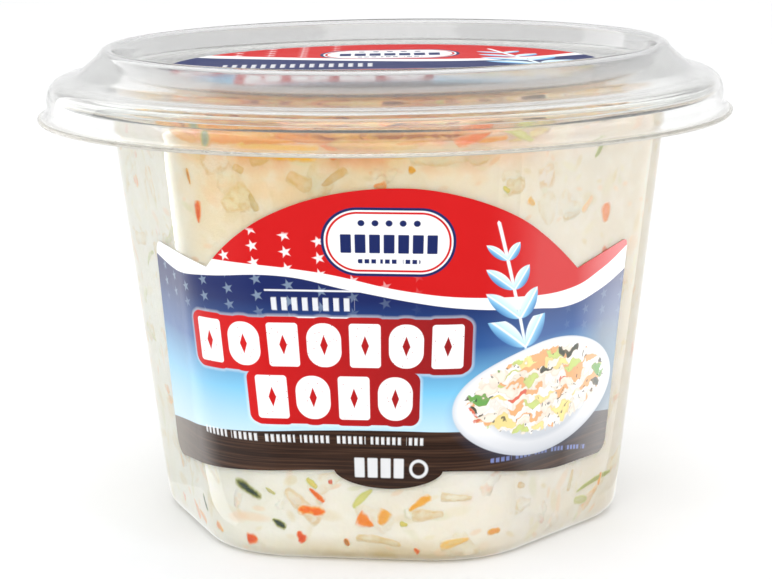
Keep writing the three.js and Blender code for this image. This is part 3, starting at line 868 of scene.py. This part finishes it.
def buildLidLabel():
    # a disc on the lid's flat panel: rings out along its underside and back over its top
    s = printSizes
    out = np.linspace(0.02, 1, 24) * s["lidRadius"]
    level = lidSizes["panelTop"] + np.repeat(s["lidFilm"], len(out))
    points, faces = ringSkin(turned(np.stack([np.concatenate([out, out[::-1]]), level], -1), 160))
    material = printedFilm("lidPrint", lidPrint(), 0.35, 0.02, 60, 70)
    piece = makePiece("lidLabelFilm", points, faces, material, "lid_label", sharpAngle=40)
    piece.visible_shadow = False       # thin film lets light down on the salad
    setPointValues(piece, "inked", (points[:, 2] > level.mean()).astype(float))
    turn = math.radians(s["lidTurn"])
    across = points[:, 0] * math.cos(turn) + points[:, 1] * math.sin(turn)
    up = points[:, 1] * math.cos(turn) - points[:, 0] * math.sin(turn)
    setPrintPlace(piece, across, up)


buildFrontLabel()
buildLidLabel()
print("labels printed")


# the salad: dressing with shreds showing in it

saladSizes = dict(
    level=70.6,            # height of the dressing at the wall
    crown=1.0,             # its rise towards the middle, from this far out
    crownReach=44,
    waves=0.28,            # height of its broad and of its fine waves
    fineWaves=0.3,
    skin=-0.45,            # the food's skin lies inside the wall's thickness, so no air shows
    floor=0.45,
    around=400,
    heapReach=42.4,        # how far out loose shreds lie, and how far this follows the six corners
    heapSwell=1.6,
    highest=74.6,
    lowest=1.2,            # shreds on the wall lie between this and a little over the level
    overLevel=0.6,
)


def crossingWaves(x, y, seed, count, shortest, longest):
    # the sum of many sine waves of seeded direction, length and phase, about -1 to 1
    random = np.random.default_rng(seed)
    heading = random.uniform(0, 2 * math.pi, count)
    length = random.uniform(shortest, longest, count)
    phase = random.uniform(0, 2 * math.pi, count)
    kx, ky = 2 * math.pi * np.cos(heading) / length, 2 * math.pi * np.sin(heading) / length
    waves = np.sin(np.multiply.outer(x, kx) + np.multiply.outer(y, ky) + phase)
    return waves.sum(-1) / math.sqrt(2 * count)


def topHeight(x, y):
    # a low crown and three broad waves, roughened by finer ones
    s = saladSizes
    crown = s["crown"] * (1 - (x * x + y * y) / s["crownReach"] ** 2)
    broad = np.sin(x * 0.21 + 1) + np.sin(y * 0.26 - x * 0.08) + np.sin((x + y) * 0.37)
    fine = crossingWaves(x, y, 5, 14, 3.0, 8.0)
    return s["level"] + crown + s["waves"] * broad + s["fineWaves"] * fine


def dressingColour():
    # ivory, creamier and stained orange towards the top, tan at the very base, cooler to the left, and darker
    # to the right as painted shade on the face turned from the light
    group, place = newGroup("dressingColour", dict(Place=(0.0, 0.0, 0.0)), Color="Color")
    x, _, height = axesOf(group, place)
    cloud = noise(group, place, 0.07, 3.0)
    curd = noise(group, place, 0.3, 3.0)
    stain = noise(group, place, 0.16, 4.0)
    # the last stop is painted shade: the dressing darkens towards the right face, which gets less light
    ivoryAndRightShade = ramp(group, x * 0.012 + 0.5, [(0.1, rgb(238, 238, 228)), (0.42, rgb(245, 242, 231)),
                                         (0.75, rgb(249, 243, 234)), (0.95, rgb(234, 225, 210))])
    orange = ramp(group, stain, [(0.34, rgb(252, 214, 140)), (0.46, rgb(248, 174, 70)),
                                 (0.56, rgb(238, 132, 34)), (0.66, rgb(190, 100, 20))])
    leftShare = x.share(34, 8) * x.share(-29, -23)
    top = height.share(64, 69) * (leftShare * 0.85 + 0.15)
    base = height.below(3.0, 3.4) * (1.0 - ((x - 4) * (1 / 28)).size()).clamped()
    return giveOut(group, Color=layered(group, ivoryAndRightShade, [
        (height.share(30, 60) * (leftShare * 0.75 + 0.1), rgb(240, 221, 180)),
        (cloud.above(0.52, 0.3) * 0.3, rgb(240, 228, 198)),
        (curd.above(0.56, 0.22) * 0.3, rgb(252, 250, 244)),
        (height.share(54, 64) * leftShare * stain.above(0.5, 0.16) * 0.5, rgb(250, 206, 148)),
        (top * 0.9, orange),
        (base * (stain * 1.8).clamped(), rgb(206, 182, 122))]))


def buriedShreds():
    # faint shreds under the skin: one soft ellipsoid in each Voronoi cell, turned by the cell's own draw
    inputs = dict(Place=(0.0, 0.0, 0.0), Scale=0.12, Length=3.5, Width=0.6)
    group, place, scale, length, width = newGroup("buriedShreds", inputs, Mask="Float", Pick="Float")
    cell = cells(group, place, scale).node
    offset = vectorMath(group, "SUBTRACT", place, cell.outputs["Position"])
    pick = addNode(group, "ShaderNodeSeparateColor", Color=cell.outputs["Color"]).node.outputs
    first, second = Term(group, pick[0]), Term(group, pick[1])
    spun = addNode(group, "ShaderNodeVectorRotate", 0, dict(rotation_type="EULER_XYZ"), Vector=offset,
                   Rotation=joined(group, first * 6.28, second * 6.28, first * 9.4))
    along, across, deep = axesOf(group, spun)
    along, across, deep = along / length, across / width, deep / (width * 3)
    reach = along * along + across * across + deep * deep
    return giveOut(group, Mask=reach.below(0.75, 0.9), Pick=pick[2])


dressingGroup = dressingColour()
buriedGroup = buriedShreds()


def dressingMaterial():
    # moist dressing with faint shreds of three sizes under its skin
    material, tree, shader = newMaterial("dressing", Subsurface_Weight=0.25, Subsurface_Scale=0.002,
                                         Subsurface_Radius=(1.0, 0.7, 0.45), Specular_IOR_Level=0.15)
    place = objectPlace(tree)
    colour = placeGroup(tree, dressingGroup, Place=place).outputs["Color"]
    tints = [(0.0, rgb(226, 206, 150)), (0.3, rgb(236, 226, 186)), (0.52, rgb(244, 206, 164)),
             (0.7, rgb(218, 218, 174)), (0.86, rgb(245, 190, 132))]
    sizes = ((0.10, 3.6, 0.7, 0.4), (0.16, 2.4, 0.9, 0.3), (0.3, 0.9, 0.45, 0.4))
    for scale, length, width, strength in sizes:
        shreds = placeGroup(tree, buriedGroup, Place=place, Scale=scale, Length=length, Width=width)
        tint = ramp(tree, shreds.outputs["Pick"], tints, "CONSTANT")
        colour = mixColour(tree, Term(tree, shreds.outputs["Mask"]) * strength, colour, tint)
    fill(tree, shader.inputs, dict(Base_Color=colour, Roughness=noise(tree, place, 0.5) * 0.25 + 0.25,
                                   Normal=bump(tree, noise(tree, place, 0.9, 3.0), 0.25, 0.0006)))
    return material


def buildDressing():
    # up the wall in stations of height, out, round, radius, then in over the heap in ever smaller rings
    s = saladSizes
    skin, floor, level = s["skin"], s["floor"], s["level"]
    edge = tubSizes["edge"] + skin
    turn = np.linspace(0, math.pi / 2, 7)
    footIn = -tubSizes["edge"] - tubSizes["footWidth"]
    foot = [[floor + tubSizes["pushUp"], footIn - 0.8], [floor, footIn + 0.4]]
    bend = np.stack([floor + edge * (1 - np.cos(turn)), skin + edge * (np.sin(turn) - 1)], -1)
    heights = np.linspace(floor + edge, level - 0.9, 90)[1:]
    wall = np.stack([heights, 0 * heights + skin], -1)
    side = np.concatenate([foot, bend, wall, [[level, skin - 0.25]]])
    side = wallRings(np.concatenate([side, 0 * side], -1), s["around"])
    shrink = (1 - np.linspace(0.012, 0.99, 56))[:, None, None]
    top = np.repeat(side[-1:], len(shrink), 0)
    top[..., :2] *= shrink
    rise = smoothSteps(1 - shrink[..., 0], 0, 0.05)
    top[..., 2] = (level - 0.3) * (1 - rise) + topHeight(top[..., 0], top[..., 1]) * rise
    points, faces = ringSkin(np.concatenate([side[:-1], top]))
    makePiece("dressingCore", points, faces, dressingMaterial(), "coleslaw")


buildDressing()
print("dressing built")


# shreds: flat bent strips, many at once

def stripShapes(random, size, kind, bend, waver, segments=9, sides=8):
    # along each strip t runs from -1 to 1; its half width is w (1 - |t|^blunt)^(1/2) (1 + taper t) with a
    # wavering edge, its middle line bows by bend (1 - t^2), and its section is a superellipse
    length, width, thickness = (size[key][:, None, None] for key in ("length", "width", "thickness"))
    count = len(length)
    bow = (random.normal(0, 1, count) * bend)[:, None, None] * length
    t = np.linspace(-0.985, 0.985, segments)[None, :, None]
    angle = (np.arange(sides) / sides * 2 * math.pi)[None, None]
    taper = random.uniform(-kind["taper"], kind["taper"], count)[:, None, None]
    half = width / 2 * np.sqrt(1 - np.abs(t) ** kind["blunt"]) * (1 + taper * t)
    rate = random.uniform(3, 9, count)[:, None, None]
    phase = random.uniform(0, 6.3, count)[:, None, None]
    half = half * (1 + waver[:, None, None] * np.sin(t * rate + phase))
    cos = np.sign(np.cos(angle)) * np.abs(np.cos(angle)) ** 0.8
    sin = np.sign(np.sin(angle)) * np.abs(np.sin(angle)) ** 0.3
    side = half * cos + bow * (1 - t * t)
    depth = thickness / 2 * (1 - sin * np.sqrt(1 - np.abs(t) ** 6))
    run = np.broadcast_to(length / 2 * t, side.shape)
    edge = np.broadcast_to(np.maximum(np.abs(np.cos(angle)), np.abs(t) ** 3), side.shape)
    return run, side, depth, edge


def stripFaces(count, segments, sides):
    # quads along every strip and a many-sided cap at each end
    start = (np.arange(count) * segments * sides)[:, None, None]
    ring = (np.arange(segments - 1) * sides)[None, :, None]
    step = np.arange(sides)[None, None]
    onward = (step + 1) % sides
    quads = np.stack([start + ring + step, start + ring + onward,
                      start + ring + sides + onward, start + ring + sides + step], -1)
    firstCap = start[:, 0] + np.arange(sides)[::-1]
    lastCap = start[:, 0] + (segments - 1) * sides + np.arange(sides)
    return quads.reshape(-1, 4).tolist() + firstCap.tolist() + lastCap.tolist()


def turnStrips(run, side, heading):
    # run and side turned into the strip's own heading on its surface
    cos, sin = np.cos(heading)[:, None, None], np.sin(heading)[:, None, None]
    return run * cos - side * sin, run * sin + side * cos


def onWall(shape, along, height, heading, outer):
    # strips laid on the tub's wall, their outer face at outer
    run, side, depth = shape[:3]
    right, up = turnStrips(run, side, heading)
    s = saladSizes
    z = np.clip(height[:, None, None] + up, s["lowest"], s["level"] + s["overLevel"])
    return wallPoint(along[:, None, None] + right, z, outer[:, None, None] - depth)


def onTop(shape, x, y, heading, lift, droop):
    # strips lying on the heap: the surface height there, plus lift, less a droop towards the ends
    run, side, depth = shape[:3]
    right, up = turnStrips(run, side, heading)
    s = saladSizes
    px, py = x[:, None, None] + right, y[:, None, None] + up
    limit = s["heapReach"] + s["heapSwell"] * np.cos(6 * np.arctan2(py, px) + math.pi)
    tuck = np.minimum(1, limit / np.maximum(np.hypot(px, py), 1e-6))
    px, py = px * tuck, py * tuck
    sag = droop[:, None, None] * (run / np.abs(run).max(axis=(1, 2), keepdims=True)) ** 2
    z = topHeight(px, py) + lift[:, None, None] - sag - depth
    return np.stack([px, py, np.minimum(z, s["highest"])], -1)


def shredMaterial(name, kind):
    # the strip's own tint running into its rim tint in patches and towards its edges, darker fibres along it,
    # and dressing that covers its outermost edge and part of the rest
    material, tree, shader = newMaterial(name, Specular_IOR_Level=0.08, Subsurface_Weight=0.15,
                                         Subsurface_Scale=0.0008)
    place = objectPlace(tree)
    cover = placeGroup(tree, dressingGroup, Place=place).outputs["Color"]
    tint = pointValue(tree, "tint", "Color")
    edge, veil = pointValue(tree, "edge"), pointValue(tree, "veil")
    blotch = noise(tree, place, 0.9, 3.0) - 0.5
    fibre = noise(tree, place, 2.2, 4.0)
    patch = noise(tree, place, 0.6) - 0.5
    band = (edge + blotch * kind["ragged"]).above(0.42, 0.4)
    colour = mixColour(tree, band * 0.8, tint, kind["rim"])
    colour = mixColour(tree, fibre * 0.25, colour, tint, "MULTIPLY")
    hidden = (veil + patch * 1.2).clamped() * (1.0 - band * kind["rimKeep"])
    hidden = hidden.most((edge + blotch * 0.4).above(0.6, 0.36))
    fill(tree, shader.inputs, dict(Base_Color=mixColour(tree, hidden, colour, cover),
                                   Roughness=fibre * 0.3 + kind["roughness"],
                                   Normal=bump(tree, fibre, 0.3, 0.0004)))
    return material


# what shows in the dressing, kind by kind: sizes in millimetres, tints, and how many lie on wall and heap
shredKinds = {
    "cabbage": dict(length=(5, 13), width=(2.2, 5.0), thickness=(0.4, 0.8), blunt=4, taper=0.5, bend=0.10,
                    wall=100, top=330, rim=rgb(228, 188, 104), rimKeep=0.12, ragged=1.6, roughness=0.28,
                    tints=[(240, 230, 200), (242, 236, 214), (236, 226, 186), (241, 234, 206)],
                    veil=(0.55, 0.95), frontVeil=0.9, laidVeil=0.4, proud=0.05, topStain=(1.0, 0.74, 0.38)),
    "carrot": dict(length=(2.2, 7.5), width=(1.2, 2.6), thickness=(0.5, 0.9), blunt=4, taper=0.6, bend=0.05,
                   wall=44, top=150, rim=rgb(255, 200, 84), rimKeep=0.0, ragged=1.6, roughness=0.3,
                   tints=[(248, 150, 40), (250, 172, 66), (244, 128, 24), (250, 190, 96)],
                   veil=(0.3, 0.85), frontVeil=1.0, laidVeil=-0.5, proud=0.07, topStain=(1.0, 0.85, 0.6)),
    "paprika": dict(length=(1.8, 4.2), width=(1.4, 2.8), thickness=(0.5, 0.8), blunt=3.5, taper=0.9,
                    bend=0.04, wall=30, top=50, rim=rgb(252, 160, 56), rimKeep=0.0, ragged=1.6,
                    roughness=0.25, tints=[(240, 104, 20), (244, 124, 34), (232, 78, 10)],
                    veil=(0.25, 0.85), frontVeil=1.0, laidVeil=-0.5, proud=0.07, topStain=(1.0, 0.9, 0.8)),
    "greens": dict(length=(2.4, 9), width=(1.1, 2.3), thickness=(0.4, 0.7), blunt=2.2, taper=0.4, bend=0.12,
                   wall=32, top=50, rim=rgb(204, 206, 86), rimKeep=0.2, ragged=0.5, roughness=0.3,
                   tints=[(208, 210, 134), (190, 198, 112), (220, 218, 156), (150, 166, 88)],
                   veil=(0.35, 0.85), frontVeil=1.0, laidVeil=-0.5, proud=0.07, topStain=(1.0, 0.85, 0.6)),
}

shredSpread = dict(
    longer=1.25,           # single shreds are larger than what shows, as dressing hides their edges
    wider=1.75,
    singleThickness=0.4,
    singleBend=0.3,        # times their kind's own bend
    singleWaver=0.1,
    waver=0.2,
    heapVeil=0.5,          # times their kind's own veil
    onWall=(2.5, 69.5),    # heights, greatest lean and outer faces of the strips drawn for the wall
    leaning=1.3,
    proud=(0.02, 0.06),
    veiledMiddle=9,        # the stretch of wall in front whose drawn strips stay under dressing
    veiledHalf=42,
    veiledTop=66,
    heapRadius=42,         # strips drawn for the heap, and how they stand off it and droop
    lift=(0.1, 1.5),
    droop=(0.3, 2.2),
)

# single shreds that lie on the wall near the front: along, height, length, width, heading in degrees, tint
laidShreds = {
    "cabbage": [
        (-15.3, 60.0, 5.6, 3.0, 27, (240, 228, 186)), (-12.6, 59.7, 3.1, 0.8, -73, (222, 190, 116)),
        (-1.3, 63.5, 5.3, 1.0, 35, (228, 184, 104)), (-9.4, 9.4, 8.0, 2.0, -44, (240, 226, 204)),
        (13.4, 8.5, 5.5, 1.4, 4, (236, 216, 172)), (4.5, 3.5, 8.7, 1.0, -7, (220, 196, 134)),
        (30.7, 11.7, 1.9, 0.8, -18, (232, 208, 160)), (46.3, 9.4, 3.8, 0.8, -105, (230, 214, 176)),
        (39.9, 55.7, 4.3, 1.2, 5, (240, 224, 196)), (-5.6, 63.2, 4.0, 1.8, -28, (240, 206, 152)),
        (-11.0, 66.4, 3.0, 1.1, 16, (236, 200, 134)), (-14.5, 64.9, 1.8, 1.0, -30, (232, 196, 130)),
        (26.3, 62.2, 3.6, 2.0, 8, (238, 214, 168)), (33.0, 63.0, 3.8, 2.8, 12, (242, 228, 216)),
        (4.4, 68.5, 12.5, 2.4, 0, (255, 216, 120)), (28.6, 70.2, 9.0, 1.4, 22, (250, 232, 140)),
        (18.2, 11.5, 5.3, 1.0, -5, (240, 226, 196)), (-18.5, 66.0, 5.0, 3.0, 24, (246, 232, 210)),
    ],
    "carrot": [
        (-7.9, 8.6, 5.2, 1.4, -3, (252, 120, 0)), (12.1, 10.4, 4.5, 1.0, 34, (253, 184, 60)),
        (5.5, 7.8, 2.8, 1.7, 62, (246, 176, 76)), (25.1, 4.8, 2.5, 0.9, 2, (244, 170, 90)),
        (56.4, 7.7, 2.2, 0.8, 78, (240, 160, 90)), (-34.9, 3.7, 4.4, 0.9, -15, (246, 196, 150)),
        (-27.0, 3.7, 2.2, 0.9, -31, (246, 190, 150)), (29.7, 59.0, 1.9, 0.9, -32, (240, 196, 120)),
        (9.8, 65.0, 1.0, 0.9, 0, (238, 178, 70)), (-12.8, 69.5, 13.5, 2.2, -2, (255, 166, 0)),
        (-9.4, 68.0, 13.0, 1.9, -5, (255, 202, 50)), (9.6, 69.1, 4.6, 0.8, 14, (246, 178, 70)),
        (9.4, 70.5, 16.5, 1.6, 1, (176, 92, 0)), (-24.5, 69.6, 5.2, 1.6, -20, (251, 188, 104)),
        (21.8, 69.4, 5.0, 1.2, 9, (253, 172, 60)), (-24.2, 63.2, 2.6, 0.6, -80, (216, 146, 70)),
        (18.2, 3.6, 4.9, 1.1, 13, (240, 208, 140)), (43.7, 56.7, 3.1, 0.9, 44, (246, 216, 190)),
    ],
    "paprika": [
        (-19.3, 3.0, 2.2, 1.5, 8, (240, 92, 6)), (-10.2, 4.1, 2.1, 1.3, -55, (236, 84, 8)),
        (-6.6, 11.4, 3.4, 0.8, -40, (244, 112, 24)), (2.2, 7.1, 3.3, 1.7, -26, (250, 146, 40)),
        (11.8, 2.3, 1.2, 0.7, -34, (222, 90, 46)), (-22.8, 57.6, 3.6, 1.1, -95, (240, 104, 4)),
        (48.8, 54.5, 3.2, 1.6, -80, (245, 160, 104)), (49.9, 48.0, 2.1, 0.8, -28, (234, 140, 110)),
        (18.6, 69.8, 5.6, 1.9, 25, (255, 134, 0)), (-5.0, 70.0, 6.0, 1.0, -15, (248, 172, 96)),
        (-1.6, 67.6, 2.8, 0.9, -40, (246, 160, 84)), (-4.0, 13.7, 0.8, 0.7, 0, (228, 120, 96)),
        (-1.5, 3.4, 1.4, 0.8, -57, (188, 120, 50)), (5.4, 62.4, 1.8, 1.1, 0, (238, 178, 124)),
    ],
    "greens": [
        (-19.1, 11.7, 5.4, 1.5, -29, (40, 62, 40)), (-31.9, 6.9, 3.2, 0.8, -56, (70, 84, 96)),
        (-14.0, 6.2, 2.6, 1.1, -32, (56, 70, 58)), (1.8, 10.9, 4.7, 1.0, 42, (226, 222, 140)),
        (-7.3, 13.4, 2.4, 0.9, -40, (228, 214, 120)), (54.6, 7.4, 11.4, 0.8, 7, (176, 180, 100)),
        (50.6, 5.2, 4.6, 1.2, -8, (218, 216, 170)), (45.5, 65.2, 2.6, 0.8, 52, (176, 184, 120)),
        (24.6, 61.6, 1.5, 0.7, -36, (232, 214, 120)), (-19.6, 69.6, 4.6, 1.3, 82, (158, 166, 126)),
        (26.0, 70.3, 8.0, 1.5, -35, (228, 222, 140)), (9.3, 6.9, 1.5, 0.8, -11, (228, 214, 120)),
        (-14.9, 11.8, 1.9, 0.5, -33, (206, 196, 140)),
    ],
}


def buildShreds(name, seed):
    # seeded strips all over the wall, then the single ones, then those on top
    kind, laid, s = shredKinds[name], laidShreds[name], shredSpread
    random = np.random.default_rng(seed)
    wall, top = kind["wall"], kind["top"]
    count = wall + len(laid) + top
    drawn, single, heaped = slice(0, wall), slice(wall, wall + len(laid)), slice(wall + len(laid), count)
    place = np.array([row[:5] for row in laid]).T
    size = {key: random.uniform(*kind[key], count) for key in ("length", "width", "thickness", "veil")}
    size["length"][single] = place[2] * s["longer"]
    size["width"][single] = place[3] * s["wider"]
    size["thickness"][single] = s["singleThickness"]
    size["veil"][single] = kind["laidVeil"]
    size["veil"][heaped] *= s["heapVeil"]
    bend, waver = np.full(count, kind["bend"]), np.full(count, s["waver"])
    bend[single] *= s["singleBend"]
    waver[single] = s["singleWaver"]
    shape = stripShapes(random, size, kind, bend, waver)
    along = np.concatenate([random.uniform(-girth / 2, girth / 2, wall), place[0]])
    height = np.concatenate([random.uniform(*s["onWall"], wall), place[1]])
    heading = np.concatenate([random.uniform(-s["leaning"], s["leaning"], wall), np.radians(place[4])])
    inFront = (np.abs(along[drawn] - s["veiledMiddle"]) < s["veiledHalf"]) & (height[drawn] < s["veiledTop"])
    size["veil"][drawn][inFront] = np.maximum(size["veil"][drawn][inFront], kind["frontVeil"])
    proud = np.concatenate([random.uniform(*s["proud"], wall), np.full(len(laid), kind["proud"])])
    outer = saladSizes["skin"] + proud
    onSide = onWall([part[:single.stop] for part in shape], along, height, heading, outer)
    reach = s["heapRadius"] * np.sqrt(random.uniform(0, 1, top))
    turn = random.uniform(0, 2 * math.pi, top)
    heading = random.uniform(0, 6.3, top)
    lift, droop = random.uniform(*s["lift"], top), random.uniform(*s["droop"], top)
    onHeap = onTop([part[heaped] for part in shape], reach * np.cos(turn), reach * np.sin(turn), heading,
                   lift, droop)
    points = np.concatenate([onSide.reshape(-1, 3), onHeap.reshape(-1, 3)])
    segments, sides = shape[1].shape[1:]
    faces = stripFaces(count, segments, sides)
    piece = makePiece(name + "Shreds", points, faces, shredMaterial(name + "Flesh", kind))
    tint = np.array([rgb(*colour) for colour in kind["tints"]])[random.integers(0, len(kind["tints"]), count)]
    tint = np.clip(tint * random.uniform(0.88, 1.08, (count, 1)), 0, 1)
    tint[single] = [rgb(*row[5]) for row in laid]
    tint[heaped] *= kind["topStain"]
    tint = np.repeat(tint, segments * sides, 0)
    setPointValues(piece, "tint", np.concatenate([tint, np.ones((len(tint), 1))], 1))
    setPointValues(piece, "edge", shape[3].ravel())
    setPointValues(piece, "veil", np.repeat(size["veil"], segments * sides))


for order, name in enumerate(shredKinds):
    buildShreds(name, 20 + order)
print("shreds laid")


# studio: pale floor, soft panels and the camera

def direction(azimuth, elevation):
    azimuth, elevation = math.radians(azimuth), math.radians(elevation)
    return Vector((math.sin(azimuth) * math.cos(elevation), -math.cos(azimuth) * math.cos(elevation),
                   math.sin(elevation)))


def flatPiece(name, corners, material):
    # one flat face, its corners in metres
    mesh = bpy.data.meshes.new(name)
    mesh.from_pydata([tuple(corner) for corner in corners], [], [tuple(range(len(corners)))])
    mesh.materials.append(material)
    piece = bpy.data.objects.new(name, mesh)
    scene.collection.objects.link(piece)
    return piece


def buildFloor():
    material, tree, shader = newMaterial("paleFloor", Roughness=0.9, Specular_IOR_Level=0.1)
    pale = ramp(tree, noise(tree, objectPlace(tree), 0.02), [(0.3, (0.92, 0.92, 0.92)),
                                                             (0.7, (0.94, 0.94, 0.94))])
    plug(tree, pale, shader.inputs["Base Color"])
    reach = 4.0
    corners = [(reach * x, reach * y, 0) for x, y in ((-1, -1), (1, -1), (1, 1), (-1, 1))]
    floor = flatPiece("floor", corners, material)


def buildCard(name, corners, glow, fadeFrom=None, fadeTo=None):
    # a card that only reflections see: it glows evenly, or fades out from one point to another
    material = bpy.data.materials.new(name)
    material.use_nodes = True
    tree = material.node_tree
    faded = 0.0
    if fadeFrom is not None:
        span = Vector(fadeTo) - Vector(fadeFrom)
        offset = vectorMath(tree, "SUBTRACT", addNode(tree, "ShaderNodeTexCoord", "Object"), fadeFrom)
        step = span / span.length_squared
        faded = Term(tree, vectorMath(tree, "DOT_PRODUCT", offset, step, output="Value")).clamped()
    showMix(tree, faded, addNode(tree, "ShaderNodeEmission", Strength=glow),
            addNode(tree, "ShaderNodeBsdfTransparent"))
    card = flatPiece(name, corners, material)
    card.visible_camera = card.visible_diffuse = card.visible_transmission = card.visible_shadow = False


def wedge(start, firstAzimuth, lastAzimuth, near, far, height=0.001):
    # a flat wedge on the floor, fanned out from a starting point
    corners = ((firstAzimuth, near), (firstAzimuth, far), (lastAzimuth, far), (lastAzimuth, near))
    middle = Vector(start) + Vector((0, 0, height))
    return [middle + direction(azimuth, 0) * reach for azimuth, reach in corners]


def uprightCard(azimuth, halfSpread, distance, low, high):
    # corners of an upright card facing the tub
    middle = direction(azimuth, 0) * distance
    side = direction(azimuth + 90, 0) * distance * math.tan(math.radians(halfSpread))
    corners = ((-1, low), (1, low), (1, high), (-1, high))
    return [middle + side * way + Vector((0, 0, z)) for way, z in corners]


def buildCards():
    leftCorner, rightCorner = (-0.024, -0.038, 0), (0.030, -0.024, 0)
    band = wedge(leftCorner, -131, -104, 0.004, 0.32)
    buildCard("leftFloorCard", band, 4.0, (band[0] + band[1]) / 2, (band[2] + band[3]) / 2)
    fadeFrom, fadeTo = (Vector(rightCorner) + direction(112, 0) * distance for distance in (0.15, -0.09))
    buildCard("rightFloorCard", wedge(rightCorner, 139, 82, 0.01, 0.4), 2.6, fadeFrom, fadeTo)
    buildCard("leftTallCard", uprightCard(-112.5, 15.5, 0.42, 0.002, 0.66), 2.9)
    buildCard("rightTallCard", uprightCard(118, 16, 0.5, 0.002, 0.5), 0.75)
    rim = [direction(azimuth, 0) * 0.046 + Vector((0, 0, 0.0003)) for azimuth in range(0, 360, 15)]
    buildCard("baseCard", rim, 1.2)
    buildCard("frontFlag", wedge((0, -0.03, 0), -32, 62, 0.05, 0.5, 0.0005), 0.12)


def buildPanel(name, azimuth, elevation, distance, size, radiance):
    # a rectangular lamp facing the tub; a lamp of area A and radiance L takes pi A L watts
    data = bpy.data.lights.new(name, "AREA")
    data.shape = "RECTANGLE"
    data.size, data.size_y = size
    data.energy = math.pi * size[0] * size[1] * radiance
    lamp = bpy.data.objects.new(name, data)
    towards = direction(azimuth, elevation)
    place = Vector((0, 0, 0.04)) + towards * distance
    lamp.matrix_world = Matrix.Translation(place) @ towards.to_track_quat("Z", "Y").to_matrix().to_4x4()
    lamp.visible_camera = False
    scene.collection.objects.link(lamp)


def buildCamera():
    view = dict(azimuth=9.38, elevation=11.24, distance=0.4208, lens=113.34, roll=-0.85,
                aim=(0, 0, 0.036), shift=(-0.0025, 0.0137))
    data = bpy.data.cameras.new("camera")
    data.lens = view["lens"]
    data.shift_x, data.shift_y = view["shift"]
    data.clip_start = 0.01
    data.dof.use_dof = False
    camera = bpy.data.objects.new("camera", data)
    back = direction(view["azimuth"], view["elevation"])
    right = Vector((0, 0, 1)).cross(back).normalized()
    up = back.cross(right)
    roll = math.radians(view["roll"])
    axes = (right * math.cos(roll) + up * math.sin(roll), up * math.cos(roll) - right * math.sin(roll), back)
    place = Vector(view["aim"]) + back * view["distance"]
    camera.matrix_world = Matrix.Translation(place) @ Matrix(axes).transposed().to_4x4()
    scene.collection.objects.link(camera)
    scene.camera = camera


def buildWorld():
    # an even white surround, a little brighter behind the tub than in front of it
    world = bpy.data.worlds.new("studio")
    world.use_nodes = True
    tree = world.node_tree
    backwards = axesOf(tree, addNode(tree, "ShaderNodeTexCoord", "Generated"))[1]
    fill(tree, tree.nodes["Background"].inputs, dict(Strength=backwards * 0.12 + 0.92,
                                                     Color=(0.99, 0.995, 1.0)))
    scene.world = world


buildFloor()
buildPanel("topPanel", 0, 88, 2.0, (3.0, 3.0), 0.5)
buildPanel("frontPanel", 6, 30, 1.0, (1.1, 0.7), 1.5)
buildCards()
buildCamera()
buildWorld()
scene.view_settings.view_transform = "Standard"
print("studio set")
